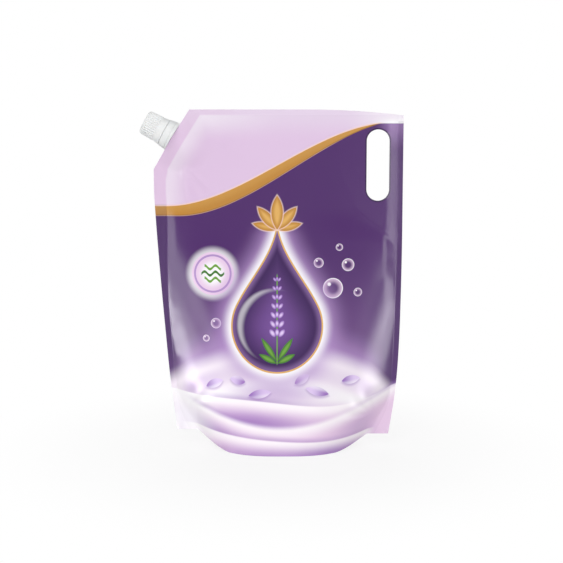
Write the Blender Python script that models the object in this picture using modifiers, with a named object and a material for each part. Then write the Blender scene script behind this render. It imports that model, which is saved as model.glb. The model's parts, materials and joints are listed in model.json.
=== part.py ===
"""Spouted stand-up refill pouch for liquid hand soap, 1.5 litre.

Metres, +Z up. The pouch stands on its gusset with its front panel facing -Y.
The spout leaves through the weld along the cut upper left corner.
"""

import math

import bmesh
import bpy
from mathutils import Matrix, Vector

MM = 0.001
COLLECTION_NAME = "hand_soap_refill_pack"

# Flat outline of the front panel. Nominal heights run from the bottom edge up.
POUCH_WIDTH = 228 * MM
POUCH_HEIGHT = 312 * MM
CUT_WIDTH = 33 * MM
CUT_HEIGHT = 54 * MM
LEFT_TAPER = 18.8 * MM
LEFT_TAPER_POWER = 1.2
RIGHT_TAPER = 10.8 * MM
RIGHT_TAPER_POWER = 3.8
STRAIGHT_SIDES_FROM = 238 * MM
TOP_DROOP = 6.4 * MM
TOP_DROOP_LENGTH = 55 * MM
TOP_DROOP_HEIGHT = 80 * MM

# Welds around the filled chamber
FIN_THICKNESS = 0.8 * MM
SIDE_SEAL = 8 * MM
TOP_SEAL = 12 * MM
CUT_SEAL = 11 * MM
FOOT_WIDTH = 19.5 * MM
FOOT_SEAL_HEIGHT = 45 * MM
FOOT_SEAL_POWER = 1.5
LEFT_FOOT_RAISE = 14.5 * MM
RIGHT_FOOT_RAISE = 10.2 * MM
FOOT_RAISE_FROM = 0.6
FOOT_RAISE_POWER = 1.5
FOOT_RAISE_HEIGHT = 80 * MM

# Bulge of the filled chamber: half its depth, and how its section changes with height
BASE_HALF_DEPTH = 44 * MM
BELLY_SWELL = 1.5 * MM
BELLY_HEIGHT = 32 * MM
DEPTH_FALL = 1.35
DEPTH_POWER = 1.85
BASE_SECTION = (3.0, 1.45)
BODY_SECTION = (2.3, 0.9)
SECTION_CHANGE_HEIGHT = 60 * MM

# Bottom gusset: a skirt stands round it, and its belly rests flat on the shelf
SKIRT_GROOVE_HEIGHT = 5 * MM
SKIRT_EDGE_SHARE = 0.975
SKIRT_INSIDE_SHARE = 0.94
GROOVE_END_SHARE = 0.82
GROOVE_END_LIFT = 0.7
BELLY_FLAT_SHARE = 0.56

# Handle slot, die-cut through a welded field in the upper right corner
SLOT_WIDTH = 21 * MM
SLOT_HEIGHT = 65 * MM
SLOT_CENTRE_FROM_SIDE = 22.6 * MM
SLOT_TOP_BELOW_EDGE = 18 * MM
SLOT_WELD_MARGIN = 6 * MM
SLOT_WELD_BLEND = 34 * MM

# Spout fitment. Heights along its axis start at the cut edge.
SPOUT_ELEVATION = math.radians(28.5)
SPOUT_ABOVE_MIDDLE = 2.6 * MM
NECK_BORE_RADIUS = 5.0 * MM
NECK_RADIUS = 7.7 * MM
NECK_HEIGHT = 25.4 * MM
NECK_EDGE_BREAK = 0.4 * MM
BORE_CUT_SPARE = 2 * MM
FLANGE_RADIUS = 13.7 * MM
FLANGE_THICKNESS = 1.5 * MM
BEAD_RADIUS = 10.4 * MM
BEAD_HEIGHT = 1.6 * MM
BEAD_GAP = 1.2 * MM
WELD_BASE_HALF_LENGTH = 20 * MM
WELD_BASE_HALF_THICKNESS = 7.4 * MM
WELD_BASE_DEPTH = 11.5 * MM
WELD_BASE_TIP = 0.6 * MM
BOAT_POWER = 0.9
WELD_RIB_COUNT = 4
WELD_RIB_DEPTH = 0.3 * MM
FILM_OVER_BASE = 0.6 * MM
TENT_LENGTH = 34 * MM
TENT_MARGIN = 5 * MM

# Tamper band, cap and sealing disc
SEAT_GAP = 0.3 * MM
TEAR_GAP = 0.5 * MM
BAND_HEIGHT = 5.5 * MM
BAND_TOP_RADIUS = 12.8 * MM
BAND_FOOT_RADIUS = 13.5 * MM
BAND_ROUND = 0.9 * MM
BAND_WALL = 1.7 * MM
CAP_LENGTH = 20.2 * MM
CAP_SKIRT_RADIUS = 12.4 * MM
CAP_GRIP_FOOT_RADIUS = 11.3 * MM
CAP_END_RADIUS = 10.8 * MM
CAP_SKIRT_HEIGHT = 6.6 * MM
CAP_END_ROUND = 1.2 * MM
CAP_END_WALL = 1.6 * MM
CAP_BORE_RADIUS = 9.3 * MM
CAP_SKIRT_BORE_RADIUS = 10.3 * MM
CAP_SKIRT_BORE_HEIGHT = 3 * MM
CAP_BORE_STEP = 1 * MM
GRIP_FLARE_HEIGHT = 1 * MM
GRIP_FLARE = 0.25 * MM
RIB_COUNT = 30
RIB_RADIUS = 0.75 * MM
RIB_PROUD = 0.45 * MM
RIB_END_MARGIN = 1.6 * MM
RIB_FOOT_OVERLAP = 0.6 * MM
RIB_END_SHARE = 0.85
DISC_THICKNESS = 1.2 * MM
DISC_CLEARANCE = 0.4 * MM

# Mesh fineness
PANEL_COLUMNS = 40
WELD_COLUMNS = 3
SIDE_ROWS = 26
CUT_ROWS = 16
TURNED_STEPS = 60
SLOT_ARC_STEPS = 12
LENS_STEPS = 16
RIB_SIDES = 8
TURN_MERGE = 0.01 * MM
PANEL_MERGE = 0.005 * MM
EDGE_MERGE = 0.001 * MM

FILM_PURPLE = (0.105, 0.040, 0.170)
CAP_WHITE = (0.80, 0.81, 0.81)
BAND_WHITE = (0.74, 0.77, 0.76)
DISC_WHITE = (0.72, 0.73, 0.74)

# Places worked out from the sizes above
CUT_FOOT_HEIGHT = POUCH_HEIGHT - CUT_HEIGHT
CUT_ANGLE = math.atan2(CUT_WIDTH, CUT_HEIGHT)
CUT_INWARD = Vector((math.cos(CUT_ANGLE), 0.0, -math.sin(CUT_ANGLE)))
CUT_ALONG = Vector((math.sin(CUT_ANGLE), 0.0, math.cos(CUT_ANGLE)))
CUT_MIDDLE = Vector((-POUCH_WIDTH / 2 + CUT_WIDTH / 2, 0.0, POUCH_HEIGHT - CUT_HEIGHT / 2))
SPOUT_BASE = CUT_MIDDLE + CUT_ALONG * SPOUT_ABOVE_MIDDLE
SPOUT_AXIS = Vector((-math.cos(SPOUT_ELEVATION), 0.0, math.sin(SPOUT_ELEVATION)))
FLANGE_LIFT = FLANGE_RADIUS * math.tan(abs(CUT_ANGLE - SPOUT_ELEVATION)) + SEAT_GAP
BAND_FOOT = FLANGE_LIFT + FLANGE_THICKNESS + SEAT_GAP
CAP_FOOT = BAND_FOOT + BAND_HEIGHT + TEAR_GAP
CAP_END = CAP_FOOT + CAP_LENGTH
CAP_CEILING = CAP_END - CAP_END_WALL
DISC_FOOT = NECK_HEIGHT + SEAT_GAP
SLOT_X = POUCH_WIDTH / 2 - SLOT_CENTRE_FROM_SIDE
SLOT_Z = POUCH_HEIGHT - SLOT_TOP_BELOW_EDGE - SLOT_HEIGHT / 2
SLOT_WELD_WIDTH = SLOT_CENTRE_FROM_SIDE + SLOT_WIDTH / 2 + SLOT_WELD_MARGIN
SLOT_WELD_FOOT = SLOT_Z - SLOT_HEIGHT / 2 - SLOT_WELD_MARGIN


def share(value):
    """value kept between 0 and 1."""
    return min(max(value, 0.0), 1.0)


def eased(value):
    """A smooth step from 0 to 1."""
    value = share(value)
    return value * value * (3 - 2 * value)


def left_edge(z):
    """Left side of the panel at a nominal height, with the cut corner."""
    below = share(1 - z / STRAIGHT_SIDES_FROM)
    side = LEFT_TAPER * below**LEFT_TAPER_POWER
    cut = CUT_WIDTH * share((z - CUT_FOOT_HEIGHT) / CUT_HEIGHT)
    return -POUCH_WIDTH / 2 + max(side, cut)


def right_edge(z):
    """Right side of the panel at a nominal height."""
    below = share(1 - z / STRAIGHT_SIDES_FROM)
    return POUCH_WIDTH / 2 - RIGHT_TAPER * below**RIGHT_TAPER_POWER


def foot_seal(z):
    """Width of the side weld, which widens to the foot at the bottom corner."""
    above = share(1 - z / FOOT_SEAL_HEIGHT)
    return SIDE_SEAL + (FOOT_WIDTH - SIDE_SEAL) * above**FOOT_SEAL_POWER


def chamber_left(z):
    """Left end of the filled chamber."""
    on_cut = eased((z - CUT_FOOT_HEIGHT + CUT_SEAL) / CUT_SEAL)
    cut_seal = CUT_SEAL / math.cos(CUT_ANGLE)
    return left_edge(z) + foot_seal(z) * (1 - on_cut) + cut_seal * on_cut


def chamber_right(z):
    """Right end of the filled chamber, which gives way to the welded field of the slot."""
    beside_slot = eased((z - SLOT_WELD_FOOT + SLOT_WELD_BLEND) / SLOT_WELD_BLEND)
    seal = foot_seal(z) * (1 - beside_slot) + SLOT_WELD_WIDTH * beside_slot
    return right_edge(z) - seal


def across_chamber(x, z):
    """Place across the chamber, from -1 to 1, and beyond that in the welds."""
    left, right = chamber_left(z), chamber_right(z)
    return (2 * x - left - right) / (right - left)


def chamber_half_depth(z):
    """Half the depth of the chamber at its middle."""
    rise = share(z / (POUCH_HEIGHT - TOP_SEAL))
    swell = BELLY_SWELL * math.sin(math.pi * share(z / (2 * BELLY_HEIGHT)))
    return BASE_HALF_DEPTH * (1 - rise**DEPTH_FALL) ** DEPTH_POWER + swell


def chamber_bulge(x, z):
    """How far the filled film stands from the middle plane of the welds."""
    place = share(abs(across_chamber(x, z)))
    blend = eased(z / SECTION_CHANGE_HEIGHT)
    fullness = BASE_SECTION[0] + (BODY_SECTION[0] - BASE_SECTION[0]) * blend
    roundness = BASE_SECTION[1] + (BODY_SECTION[1] - BASE_SECTION[1]) * blend
    return chamber_half_depth(z) * (1 - place**fullness) ** roundness


def spout_tent(x, z):
    """How far the film is held apart by the weld base of the spout."""
    offset = Vector((x, 0.0, z)) - SPOUT_BASE
    along = abs(offset.dot(CUT_ALONG)) / (WELD_BASE_HALF_LENGTH + TENT_MARGIN)
    beyond = (offset.dot(CUT_INWARD) - WELD_BASE_DEPTH - SEAT_GAP) / TENT_LENGTH
    crown = WELD_BASE_HALF_THICKNESS + SEAT_GAP + FILM_OVER_BASE
    return crown * (1 - share(along) ** 2) ** BOAT_POWER * (1 - eased(beyond))


def half_thickness(x, z):
    """Half the thickness of the whole pouch at a place on its front."""
    bulge, tent = chamber_bulge(x, z), spout_tent(x, z)
    return FIN_THICKNESS / 2 + math.hypot(bulge, tent)


def foot_raise(x):
    """How far the bottom edge is off the shelf, towards its two corners."""
    place = across_chamber(x, 0.0)
    rise = LEFT_FOOT_RAISE if place < 0 else RIGHT_FOOT_RAISE
    outward = share((abs(place) - FOOT_RAISE_FROM) / (1 - FOOT_RAISE_FROM))
    return rise * outward**FOOT_RAISE_POWER


def true_height(x, z):
    """Real height of a nominal place: the feet turn up and the right top corner droops."""
    droop = share((x - POUCH_WIDTH / 2 + TOP_DROOP_LENGTH) / TOP_DROOP_LENGTH) ** 2
    near_top = eased(1 - (POUCH_HEIGHT - z) / TOP_DROOP_HEIGHT)
    near_foot = 1 - eased(z / FOOT_RAISE_HEIGHT)
    return z + foot_raise(x) * near_foot - TOP_DROOP * droop * near_top


def row_height(row):
    """Nominal height of a row; the rows are closer along the cut edge."""
    if row <= SIDE_ROWS:
        return CUT_FOOT_HEIGHT * row / SIDE_ROWS
    return CUT_FOOT_HEIGHT + CUT_HEIGHT * (row - SIDE_ROWS) / CUT_ROWS


def column_x(column, z):
    """Place of a column at a height. The weld lines follow a column from top to bottom."""
    inner = PANEL_COLUMNS - 2 * WELD_COLUMNS
    number = share((column - WELD_COLUMNS) / inner)
    number = (number + (1 - math.cos(math.pi * number)) / 2) / 2
    x = chamber_left(z) + (chamber_right(z) - chamber_left(z)) * number
    x -= (chamber_left(z) - left_edge(z)) * share(1 - column / WELD_COLUMNS)
    return x + (right_edge(z) - chamber_right(z)) * share((column - inner) / WELD_COLUMNS - 1)


def panel_point(column, row):
    """Place of one vertex of the front panel."""
    z = row_height(row)
    x = column_x(column, z)
    return Vector((x, -half_thickness(x, z), true_height(x, z)))


def gusset_lanes():
    """Skirt edge, its inner side, the groove, then the belly: share of the depth, and lift."""
    return (
        (SKIRT_EDGE_SHARE, 0.0),
        (SKIRT_INSIDE_SHARE, SKIRT_GROOVE_HEIGHT),
        (GROOVE_END_SHARE, SKIRT_GROOVE_HEIGHT * GROOVE_END_LIFT),
        (BELLY_FLAT_SHARE, 0.0),
        (BELLY_FLAT_SHARE / 2, 0.0),
        (0.0, 0.0),
    )


def gusset_point(edge, column, lane):
    """A vertex under the pouch, inward from the bottom edge of the panel."""
    if column in (0, PANEL_COLUMNS):
        return Vector((edge.x, 0.0, edge.z))
    lanes = gusset_lanes()
    even = 1 - (lane + 1) / len(lanes)
    inward, lift = lanes[lane]
    fullness = eased(2 * share(1 - abs(across_chamber(edge.x, 0.0))))
    inward = even + (inward - even) * fullness
    return Vector((edge.x, edge.y * inward, edge.z + lift * fullness))


def half_pouch():
    """Front panel, its welded rim and half of the gusset, open at the middle plane."""
    rows = SIDE_ROWS + CUT_ROWS
    mesh = bmesh.new()
    grid = [
        [mesh.verts.new(panel_point(column, row)) for column in range(PANEL_COLUMNS + 1)]
        for row in range(rows + 1)
    ]
    for low, high in zip(grid, grid[1:]):
        join_rows(mesh, low, high)
    rim = [line[0] for line in grid] + grid[-1][1:-1] + [line[-1] for line in reversed(grid)]
    middle = [mesh.verts.new((v.co.x, 0.0, v.co.z)) for v in rim]
    join_rows(mesh, rim, middle)
    edge = [v.co.copy() for v in grid[0]]
    outer = grid[0]
    for lane in range(len(gusset_lanes())):
        inner = [mesh.verts.new(gusset_point(place, i, lane)) for i, place in enumerate(edge)]
        join_rows(mesh, inner, outer)
        outer = inner
    bmesh.ops.remove_doubles(mesh, verts=mesh.verts, dist=PANEL_MERGE)
    bmesh.ops.dissolve_degenerate(mesh, edges=mesh.edges, dist=EDGE_MERGE)
    return mesh


def join_rows(mesh, low, high):
    """Quads between two rows of vertices, facing -Y where the rows run to the right."""
    for (a, b), (d, c) in zip(zip(low, low[1:]), zip(high, high[1:])):
        mesh.faces.new((a, b, c, d))


def material(name, colour, roughness):
    """One plain plastic, as the part shows it."""
    made = bpy.data.materials.new(name)
    made.use_nodes = True
    shader = made.node_tree.nodes["Principled BSDF"]
    shader.inputs["Base Color"].default_value = (*colour, 1.0)
    shader.inputs["Roughness"].default_value = roughness
    shader.inputs["Metallic"].default_value = 0.0
    return made


def new_object(name, mesh, collection, parent=None, surface=None):
    """An object from a bmesh, which is used up."""
    data = bpy.data.meshes.new(name)
    mesh.to_mesh(data)
    mesh.free()
    made = bpy.data.objects.new(name, data)
    collection.objects.link(made)
    made.parent = parent
    if surface:
        data.materials.append(surface)
    return made


def guide(made):
    """Marks a cutter or a tool body, which is no part of the object."""
    made.hide_render = True
    made.display_type = "WIRE"
    return made


def boolean(target, tool, operation):
    """Cuts the target with the tool, or joins them."""
    step = target.modifiers.new(f"{operation.lower()}_{tool.name}", "BOOLEAN")
    step.operation = operation
    step.solver = "EXACT"
    step.object = tool


def shade_round(made, angle=math.radians(40)):
    """Smooth shading with the real edges kept sharp."""
    made.data.shade_smooth()
    made.data.set_sharp_from_angle(angle=angle)


def turned(name, profile, collection, parent, surface=None):
    """A turned piece: the closed profile of (radius, height) goes round the local Z axis."""
    mesh = bmesh.new()
    corners = [mesh.verts.new((radius, 0.0, height)) for radius, height in profile]
    for a, b in zip(corners, corners[1:] + corners[:1]):
        mesh.edges.new((a, b))
    made = new_object(name, mesh, collection, parent, surface)
    screw = made.modifiers.new("turn", "SCREW")
    screw.axis = "Z"
    screw.steps = TURNED_STEPS
    screw.render_steps = TURNED_STEPS
    screw.use_merge_vertices = True
    screw.merge_threshold = TURN_MERGE
    return made


def rounded_corner(radius, height, size, steps=4):
    """Points of a rounded outer top corner, from the side wall up to the end face."""
    points = []
    for step in range(steps + 1):
        turn = math.pi / 2 * step / steps
        out = radius - size + size * math.cos(turn)
        points.append((out, height - size + size * math.sin(turn)))
    return points


def lens(half_length, half_thickness_here, height):
    """Outline of the boat-shaped weld base at one height, as points around it."""
    points = []
    for side in (-1, 1):
        for step in range(LENS_STEPS):
            along = side * math.cos(math.pi * step / LENS_STEPS)
            bow = WELD_BASE_TIP + (half_thickness_here - WELD_BASE_TIP) * (1 - along**2) ** BOAT_POWER
            width = bow if 0 < step else WELD_BASE_TIP
            points.append(Vector((along * half_length, side * width, height)))
    return points


def weld_base_mesh(spare, lowest, highest):
    """Boat-shaped block with weld ribs, or with spare room all round its pocket."""
    mesh = bmesh.new()
    rib_pitch = WELD_BASE_DEPTH / (2 * WELD_RIB_COUNT)
    loops = []
    for step in range(2 * WELD_RIB_COUNT + 1):
        height = min(-WELD_BASE_DEPTH + step * rib_pitch, highest)
        height = lowest if step == 0 else height
        height = highest if step == 2 * WELD_RIB_COUNT else height
        inset = WELD_RIB_DEPTH if step % 2 and not spare else 0.0
        thickness = WELD_BASE_HALF_THICKNESS - inset + spare
        outline = lens(WELD_BASE_HALF_LENGTH - inset + spare, thickness, height)
        loops.append([mesh.verts.new(place) for place in outline])
    for low, high in zip(loops, loops[1:]):
        for i, vertex in enumerate(low):
            after = (i + 1) % len(low)
            mesh.faces.new((vertex, low[after], high[after], high[i]))
    mesh.faces.new(list(reversed(loops[0])))
    mesh.faces.new(loops[-1])
    return mesh


def slot_cutter(collection, pack_frame):
    """Upright bar with round ends that cuts the handle slot."""
    radius = SLOT_WIDTH / 2
    mesh = bmesh.new()
    places = []
    for top, start in ((1, 0.0), (-1, math.pi)):
        centre_z = SLOT_Z + top * (SLOT_HEIGHT / 2 - radius)
        for step in range(SLOT_ARC_STEPS + 1):
            turn = start + math.pi * step / SLOT_ARC_STEPS
            places.append((SLOT_X + radius * math.cos(turn), centre_z + radius * math.sin(turn)))
    reach = 10 * FIN_THICKNESS
    front = mesh.faces.new([mesh.verts.new((x, -reach, z)) for x, z in places])
    raised = bmesh.ops.extrude_face_region(mesh, geom=[front])["geom"]
    moved = [item for item in raised if isinstance(item, bmesh.types.BMVert)]
    bmesh.ops.translate(mesh, verts=moved, vec=(0.0, 2 * reach, 0.0))
    bmesh.ops.recalc_face_normals(mesh, faces=mesh.faces)
    return guide(new_object("slot_cutter", mesh, collection, pack_frame))


def make_pouch(parts, cutters, pack_frame, spout_frame):
    """Filled pouch: one sealed body, with the handle slot and the pocket of the spout."""
    film = material("film", FILM_PURPLE, 0.28)
    pouch = new_object("pouch", half_pouch(), parts, pack_frame, film)
    mirror = pouch.modifiers.new("back_panel", "MIRROR")
    mirror.use_axis = (False, True, False)
    mirror.use_mirror_merge = True
    mirror.merge_threshold = TURN_MERGE
    boolean(pouch, slot_cutter(cutters, pack_frame), "DIFFERENCE")
    pocket = weld_base_mesh(SEAT_GAP, -WELD_BASE_DEPTH - SEAT_GAP, FLANGE_LIFT)
    pocket = guide(new_object("weld_base_pocket", pocket, cutters, spout_frame))
    boolean(pouch, pocket, "DIFFERENCE")
    shade_round(pouch)
    return pouch


def make_spout(parts, cutters, spout_frame):
    """Neck with its flange and bead, on the boat-shaped base that is welded into the film."""
    plastic = material("spout_plastic", CAP_WHITE, 0.34)
    flange_top = FLANGE_LIFT + FLANGE_THICKNESS
    bead_foot = flange_top + BEAD_GAP
    bead_top = bead_foot + BEAD_HEIGHT
    profile = [
        (0.0, NECK_HEIGHT),
        (NECK_RADIUS - NECK_EDGE_BREAK, NECK_HEIGHT),
        (NECK_RADIUS, NECK_HEIGHT - NECK_EDGE_BREAK),
        (NECK_RADIUS, bead_top + BEAD_RADIUS - NECK_RADIUS),
        (BEAD_RADIUS, bead_top),
        (BEAD_RADIUS, bead_foot),
        (NECK_RADIUS, bead_foot),
        (NECK_RADIUS, flange_top),
        (FLANGE_RADIUS, flange_top),
        (FLANGE_RADIUS, FLANGE_LIFT),
        (0.0, FLANGE_LIFT),
    ]
    spout = turned("spout", profile, parts, spout_frame, plastic)
    base = weld_base_mesh(0.0, -WELD_BASE_DEPTH, FLANGE_LIFT + FLANGE_THICKNESS / 2)
    base = guide(new_object("weld_base", base, cutters, spout_frame))
    boolean(spout, base, "UNION")
    bore = bmesh.new()
    length = NECK_HEIGHT + WELD_BASE_DEPTH + 2 * BORE_CUT_SPARE
    middle = (NECK_HEIGHT - WELD_BASE_DEPTH) / 2
    bmesh.ops.create_cone(
        bore,
        cap_ends=True,
        segments=TURNED_STEPS // 2,
        radius1=NECK_BORE_RADIUS,
        radius2=NECK_BORE_RADIUS,
        depth=length,
        matrix=Matrix.Translation((0.0, 0.0, middle)),
    )
    bore = guide(new_object("spout_bore", bore, cutters, spout_frame))
    boolean(spout, bore, "DIFFERENCE")
    shade_round(spout)
    return spout


def make_band(parts, spout_frame):
    """Tamper band, torn from the cap when the pack is first opened."""
    plastic = material("band_plastic", BAND_WHITE, 0.38)
    top = BAND_FOOT + BAND_HEIGHT
    profile = [
        (BAND_FOOT_RADIUS - BAND_WALL, BAND_FOOT),
        (BAND_TOP_RADIUS - BAND_WALL, top),
        *reversed(rounded_corner(BAND_TOP_RADIUS, top, BAND_ROUND)),
        (BAND_FOOT_RADIUS, BAND_FOOT),
    ]
    band = turned("tamper_band", profile, parts, spout_frame, plastic)
    shade_round(band)
    return band


def make_cap(parts, cutters, cap_frame):
    """Screw cap: smooth skirt below, tapered ribbed grip above, rounded end."""
    plastic = material("cap_plastic", CAP_WHITE, 0.32)
    grip_foot = CAP_FOOT + CAP_SKIRT_HEIGHT
    profile = [
        (0.0, CAP_CEILING),
        (CAP_BORE_RADIUS, CAP_CEILING),
        (CAP_BORE_RADIUS, CAP_FOOT + CAP_SKIRT_BORE_HEIGHT + CAP_BORE_STEP),
        (CAP_SKIRT_BORE_RADIUS, CAP_FOOT + CAP_SKIRT_BORE_HEIGHT),
        (CAP_SKIRT_BORE_RADIUS, CAP_FOOT),
        (CAP_SKIRT_RADIUS, CAP_FOOT),
        (CAP_GRIP_FOOT_RADIUS + GRIP_FLARE, grip_foot - GRIP_FLARE_HEIGHT),
        (CAP_GRIP_FOOT_RADIUS, grip_foot),
        *rounded_corner(CAP_END_RADIUS, CAP_END, CAP_END_ROUND),
        (0.0, CAP_END),
    ]
    cap = turned("cap", list(reversed(profile)), parts, cap_frame, plastic)
    boolean(cap, grip_ribs(cutters, cap_frame, grip_foot), "UNION")
    shade_round(cap)
    return cap


def grip_ribs(cutters, cap_frame, grip_foot):
    """Ring of half-round ribs that follow the taper of the grip."""
    mesh = bmesh.new()
    low = grip_foot - RIB_FOOT_OVERLAP
    high = CAP_END - RIB_END_MARGIN
    drop = CAP_GRIP_FOOT_RADIUS - CAP_END_RADIUS
    lean = math.atan2(drop, CAP_LENGTH - CAP_SKIRT_HEIGHT - CAP_END_ROUND)
    radius = (CAP_GRIP_FOOT_RADIUS + CAP_END_RADIUS) / 2 + RIB_PROUD - RIB_RADIUS
    for number in range(RIB_COUNT):
        turn = Matrix.Rotation(2 * math.pi * number / RIB_COUNT, 4, "Z")
        place = Matrix.Translation((radius, 0.0, (low + high) / 2))
        tilt = Matrix.Rotation(-lean, 4, "Y")
        bmesh.ops.create_cone(
            mesh,
            cap_ends=True,
            segments=RIB_SIDES,
            radius1=RIB_RADIUS,
            radius2=RIB_RADIUS * RIB_END_SHARE,
            depth=high - low,
            matrix=turn @ place @ tilt,
        )
    return guide(new_object("grip_ribs", mesh, cutters, cap_frame))


def make_disc(parts, cap_frame):
    """Foam sealing disc, held under the end of the cap and pressed on the neck."""
    foam = material("disc_foam", DISC_WHITE, 0.6)
    mesh = bmesh.new()
    bmesh.ops.create_cone(
        mesh,
        cap_ends=True,
        segments=TURNED_STEPS,
        radius1=CAP_BORE_RADIUS - DISC_CLEARANCE,
        radius2=CAP_BORE_RADIUS - DISC_CLEARANCE,
        depth=DISC_THICKNESS,
        matrix=Matrix.Translation((0.0, 0.0, DISC_FOOT + DISC_THICKNESS / 2)),
    )
    disc = new_object("seal_disc", mesh, parts, cap_frame, foam)
    shade_round(disc)
    return disc


def axis_empty(name, collection, parent=None):
    """Empty that carries pieces. On the spout's axis local Z points out of the mouth."""
    made = bpy.data.objects.new(name, None)
    collection.objects.link(made)
    made.parent = parent
    return made


def middle_of_reach():
    """Middle of the whole pack from left to right, from the rounded corner of the cap."""
    along = CAP_END - CAP_END_ROUND
    aside = CAP_END_RADIUS - CAP_END_ROUND
    lowest = along * math.cos(SPOUT_ELEVATION) + aside * math.sin(SPOUT_ELEVATION)
    return (SPOUT_BASE.x - lowest - CAP_END_ROUND + POUCH_WIDTH / 2) / 2


def main():
    for made in list(bpy.data.objects):
        bpy.data.objects.remove(made)
    parts = bpy.data.collections.new(COLLECTION_NAME)
    cutters = bpy.data.collections.new("cutters")
    for collection in (parts, cutters):
        bpy.context.scene.collection.children.link(collection)
    pack_frame = axis_empty("pack_frame", parts)
    pack_frame.location = (-middle_of_reach(), 0.0, 0.0)
    spout_frame = axis_empty("spout_axis", parts, pack_frame)
    spout_frame.location = SPOUT_BASE
    spout_frame.rotation_euler = (0.0, SPOUT_ELEVATION - math.pi / 2, 0.0)
    cap_frame = axis_empty("cap_axis", parts, spout_frame)
    make_pouch(parts, cutters, pack_frame, spout_frame)
    make_spout(parts, cutters, spout_frame)
    make_band(parts, spout_frame)
    make_cap(parts, cutters, cap_frame)
    make_disc(parts, cap_frame)


main()
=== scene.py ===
"""Looks of the spouted stand-up refill pouch: printed film, spout thread, band, cap and the studio.

Metres, +Z up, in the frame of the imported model. The front panel faces -Y.
"""

import json
import math

import bmesh
import bpy
import numpy as np
from mathutils import Matrix, Vector


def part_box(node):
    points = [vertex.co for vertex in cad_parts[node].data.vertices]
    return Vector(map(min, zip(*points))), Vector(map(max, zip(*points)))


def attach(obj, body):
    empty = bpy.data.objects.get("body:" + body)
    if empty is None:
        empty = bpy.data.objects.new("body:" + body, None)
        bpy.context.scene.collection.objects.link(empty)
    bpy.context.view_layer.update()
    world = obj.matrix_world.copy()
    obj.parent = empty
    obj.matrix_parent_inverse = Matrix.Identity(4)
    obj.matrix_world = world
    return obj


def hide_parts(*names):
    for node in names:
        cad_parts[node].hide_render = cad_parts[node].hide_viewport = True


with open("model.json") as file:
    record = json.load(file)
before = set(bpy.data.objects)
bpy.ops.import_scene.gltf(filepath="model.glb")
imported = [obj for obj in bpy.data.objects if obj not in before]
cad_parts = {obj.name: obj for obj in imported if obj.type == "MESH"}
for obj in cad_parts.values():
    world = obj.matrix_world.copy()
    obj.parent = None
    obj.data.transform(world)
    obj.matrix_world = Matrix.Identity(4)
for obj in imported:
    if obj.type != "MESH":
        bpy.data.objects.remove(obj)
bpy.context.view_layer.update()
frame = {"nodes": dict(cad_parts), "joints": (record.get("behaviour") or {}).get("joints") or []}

MM = 0.001

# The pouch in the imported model, and the spout's axis out of its mouth
POUCH_LOW, POUCH_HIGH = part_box("pouch")
CENTRE_X = (POUCH_LOW.x + POUCH_HIGH.x) / 2
POUCH_WIDTH = POUCH_HIGH.x - POUCH_LOW.x
POUCH_HEIGHT = POUCH_HIGH.z - POUCH_LOW.z
TURN_JOINT = next(joint for joint in frame["joints"] if joint["name"] == "cap_turn")
SPOUT_BASE = Vector(TURN_JOINT["pos_m"])
SPOUT_AXIS = Vector(TURN_JOINT["axis"]).normalized()

# Outline and welds of the pouch. The side welds and the droop follow the photograph.
CUT_WIDTH = 33 * MM
CUT_HEIGHT = 54 * MM
LEFT_TAPER = 18.8 * MM
LEFT_TAPER_POWER = 1.2
RIGHT_TAPER = 10.8 * MM
RIGHT_TAPER_POWER = 3.8
STRAIGHT_SIDES_FROM = 238 * MM
TOP_DROOP = 5.2 * MM
TOP_DROOP_LENGTH = 88 * MM
TOP_DROOP_HEIGHT = 80 * MM
FIN_THICKNESS = 0.8 * MM
LEFT_SEAL = 5 * MM
LEFT_SEAL_TOP = 11 * MM
LEFT_SEAL_FROM = 120 * MM
LEFT_SEAL_BLEND = 115 * MM
RIGHT_SEAL = 5 * MM
TOP_SEAL = 12 * MM
TOP_BAND = 5 * MM
CUT_SEAL = 11 * MM
FOOT_WIDTH = 19.5 * MM
FOOT_SEAL_HEIGHT = 45 * MM
FOOT_SEAL_POWER = 1.5
LEFT_FOOT_RAISE = 14.5 * MM
RIGHT_FOOT_RAISE = 10.2 * MM
FOOT_RAISE_FROM = 0.6
FOOT_RAISE_POWER = 1.5
FOOT_RAISE_HEIGHT = 80 * MM

# Bulge of the filled chamber
BASE_HALF_DEPTH = POUCH_HIGH.y - FIN_THICKNESS / 2
BELLY_SWELL = 1.5 * MM
BELLY_HEIGHT = 32 * MM
DEPTH_FALL = 1.35
DEPTH_POWER = 1.85
BASE_SECTION = (3.0, 1.45)
BODY_SECTION = (2.3, 0.9)
SECTION_CHANGE_HEIGHT = 60 * MM
SKIRT_GROOVE_HEIGHT = 5 * MM
BELLY_FLAT_SHARE = 0.56

# Handle slot and its welded field
SLOT_WIDTH = 21 * MM
SLOT_HEIGHT = 65 * MM
SLOT_X = POUCH_WIDTH / 2 - 22.6 * MM
SLOT_Z = POUCH_HEIGHT - 18 * MM - SLOT_HEIGHT / 2
SLOT_WELD_MARGIN = 6 * MM
SLOT_WELD_BLEND = 34 * MM
SLOT_SOFTNESS = 0.9
SLOT_ROUND_STEPS = 32
SLOT_TOOL_REACH = 16 * MM
SLOT_WELD_WIDTH = POUCH_WIDTH / 2 - SLOT_X + SLOT_WIDTH / 2 + SLOT_WELD_MARGIN
SLOT_WELD_FOOT = SLOT_Z - SLOT_HEIGHT / 2 - SLOT_WELD_MARGIN

# Bow of the flat film beside the slot, towards the back
EDGE_CURL = 5 * MM
EDGE_CURL_WIDTH = 18.5 * MM
EDGE_CURL_FROM = 125 * MM
EDGE_CURL_BLEND = 80 * MM
EDGE_REACH = 0.8 * MM

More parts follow.
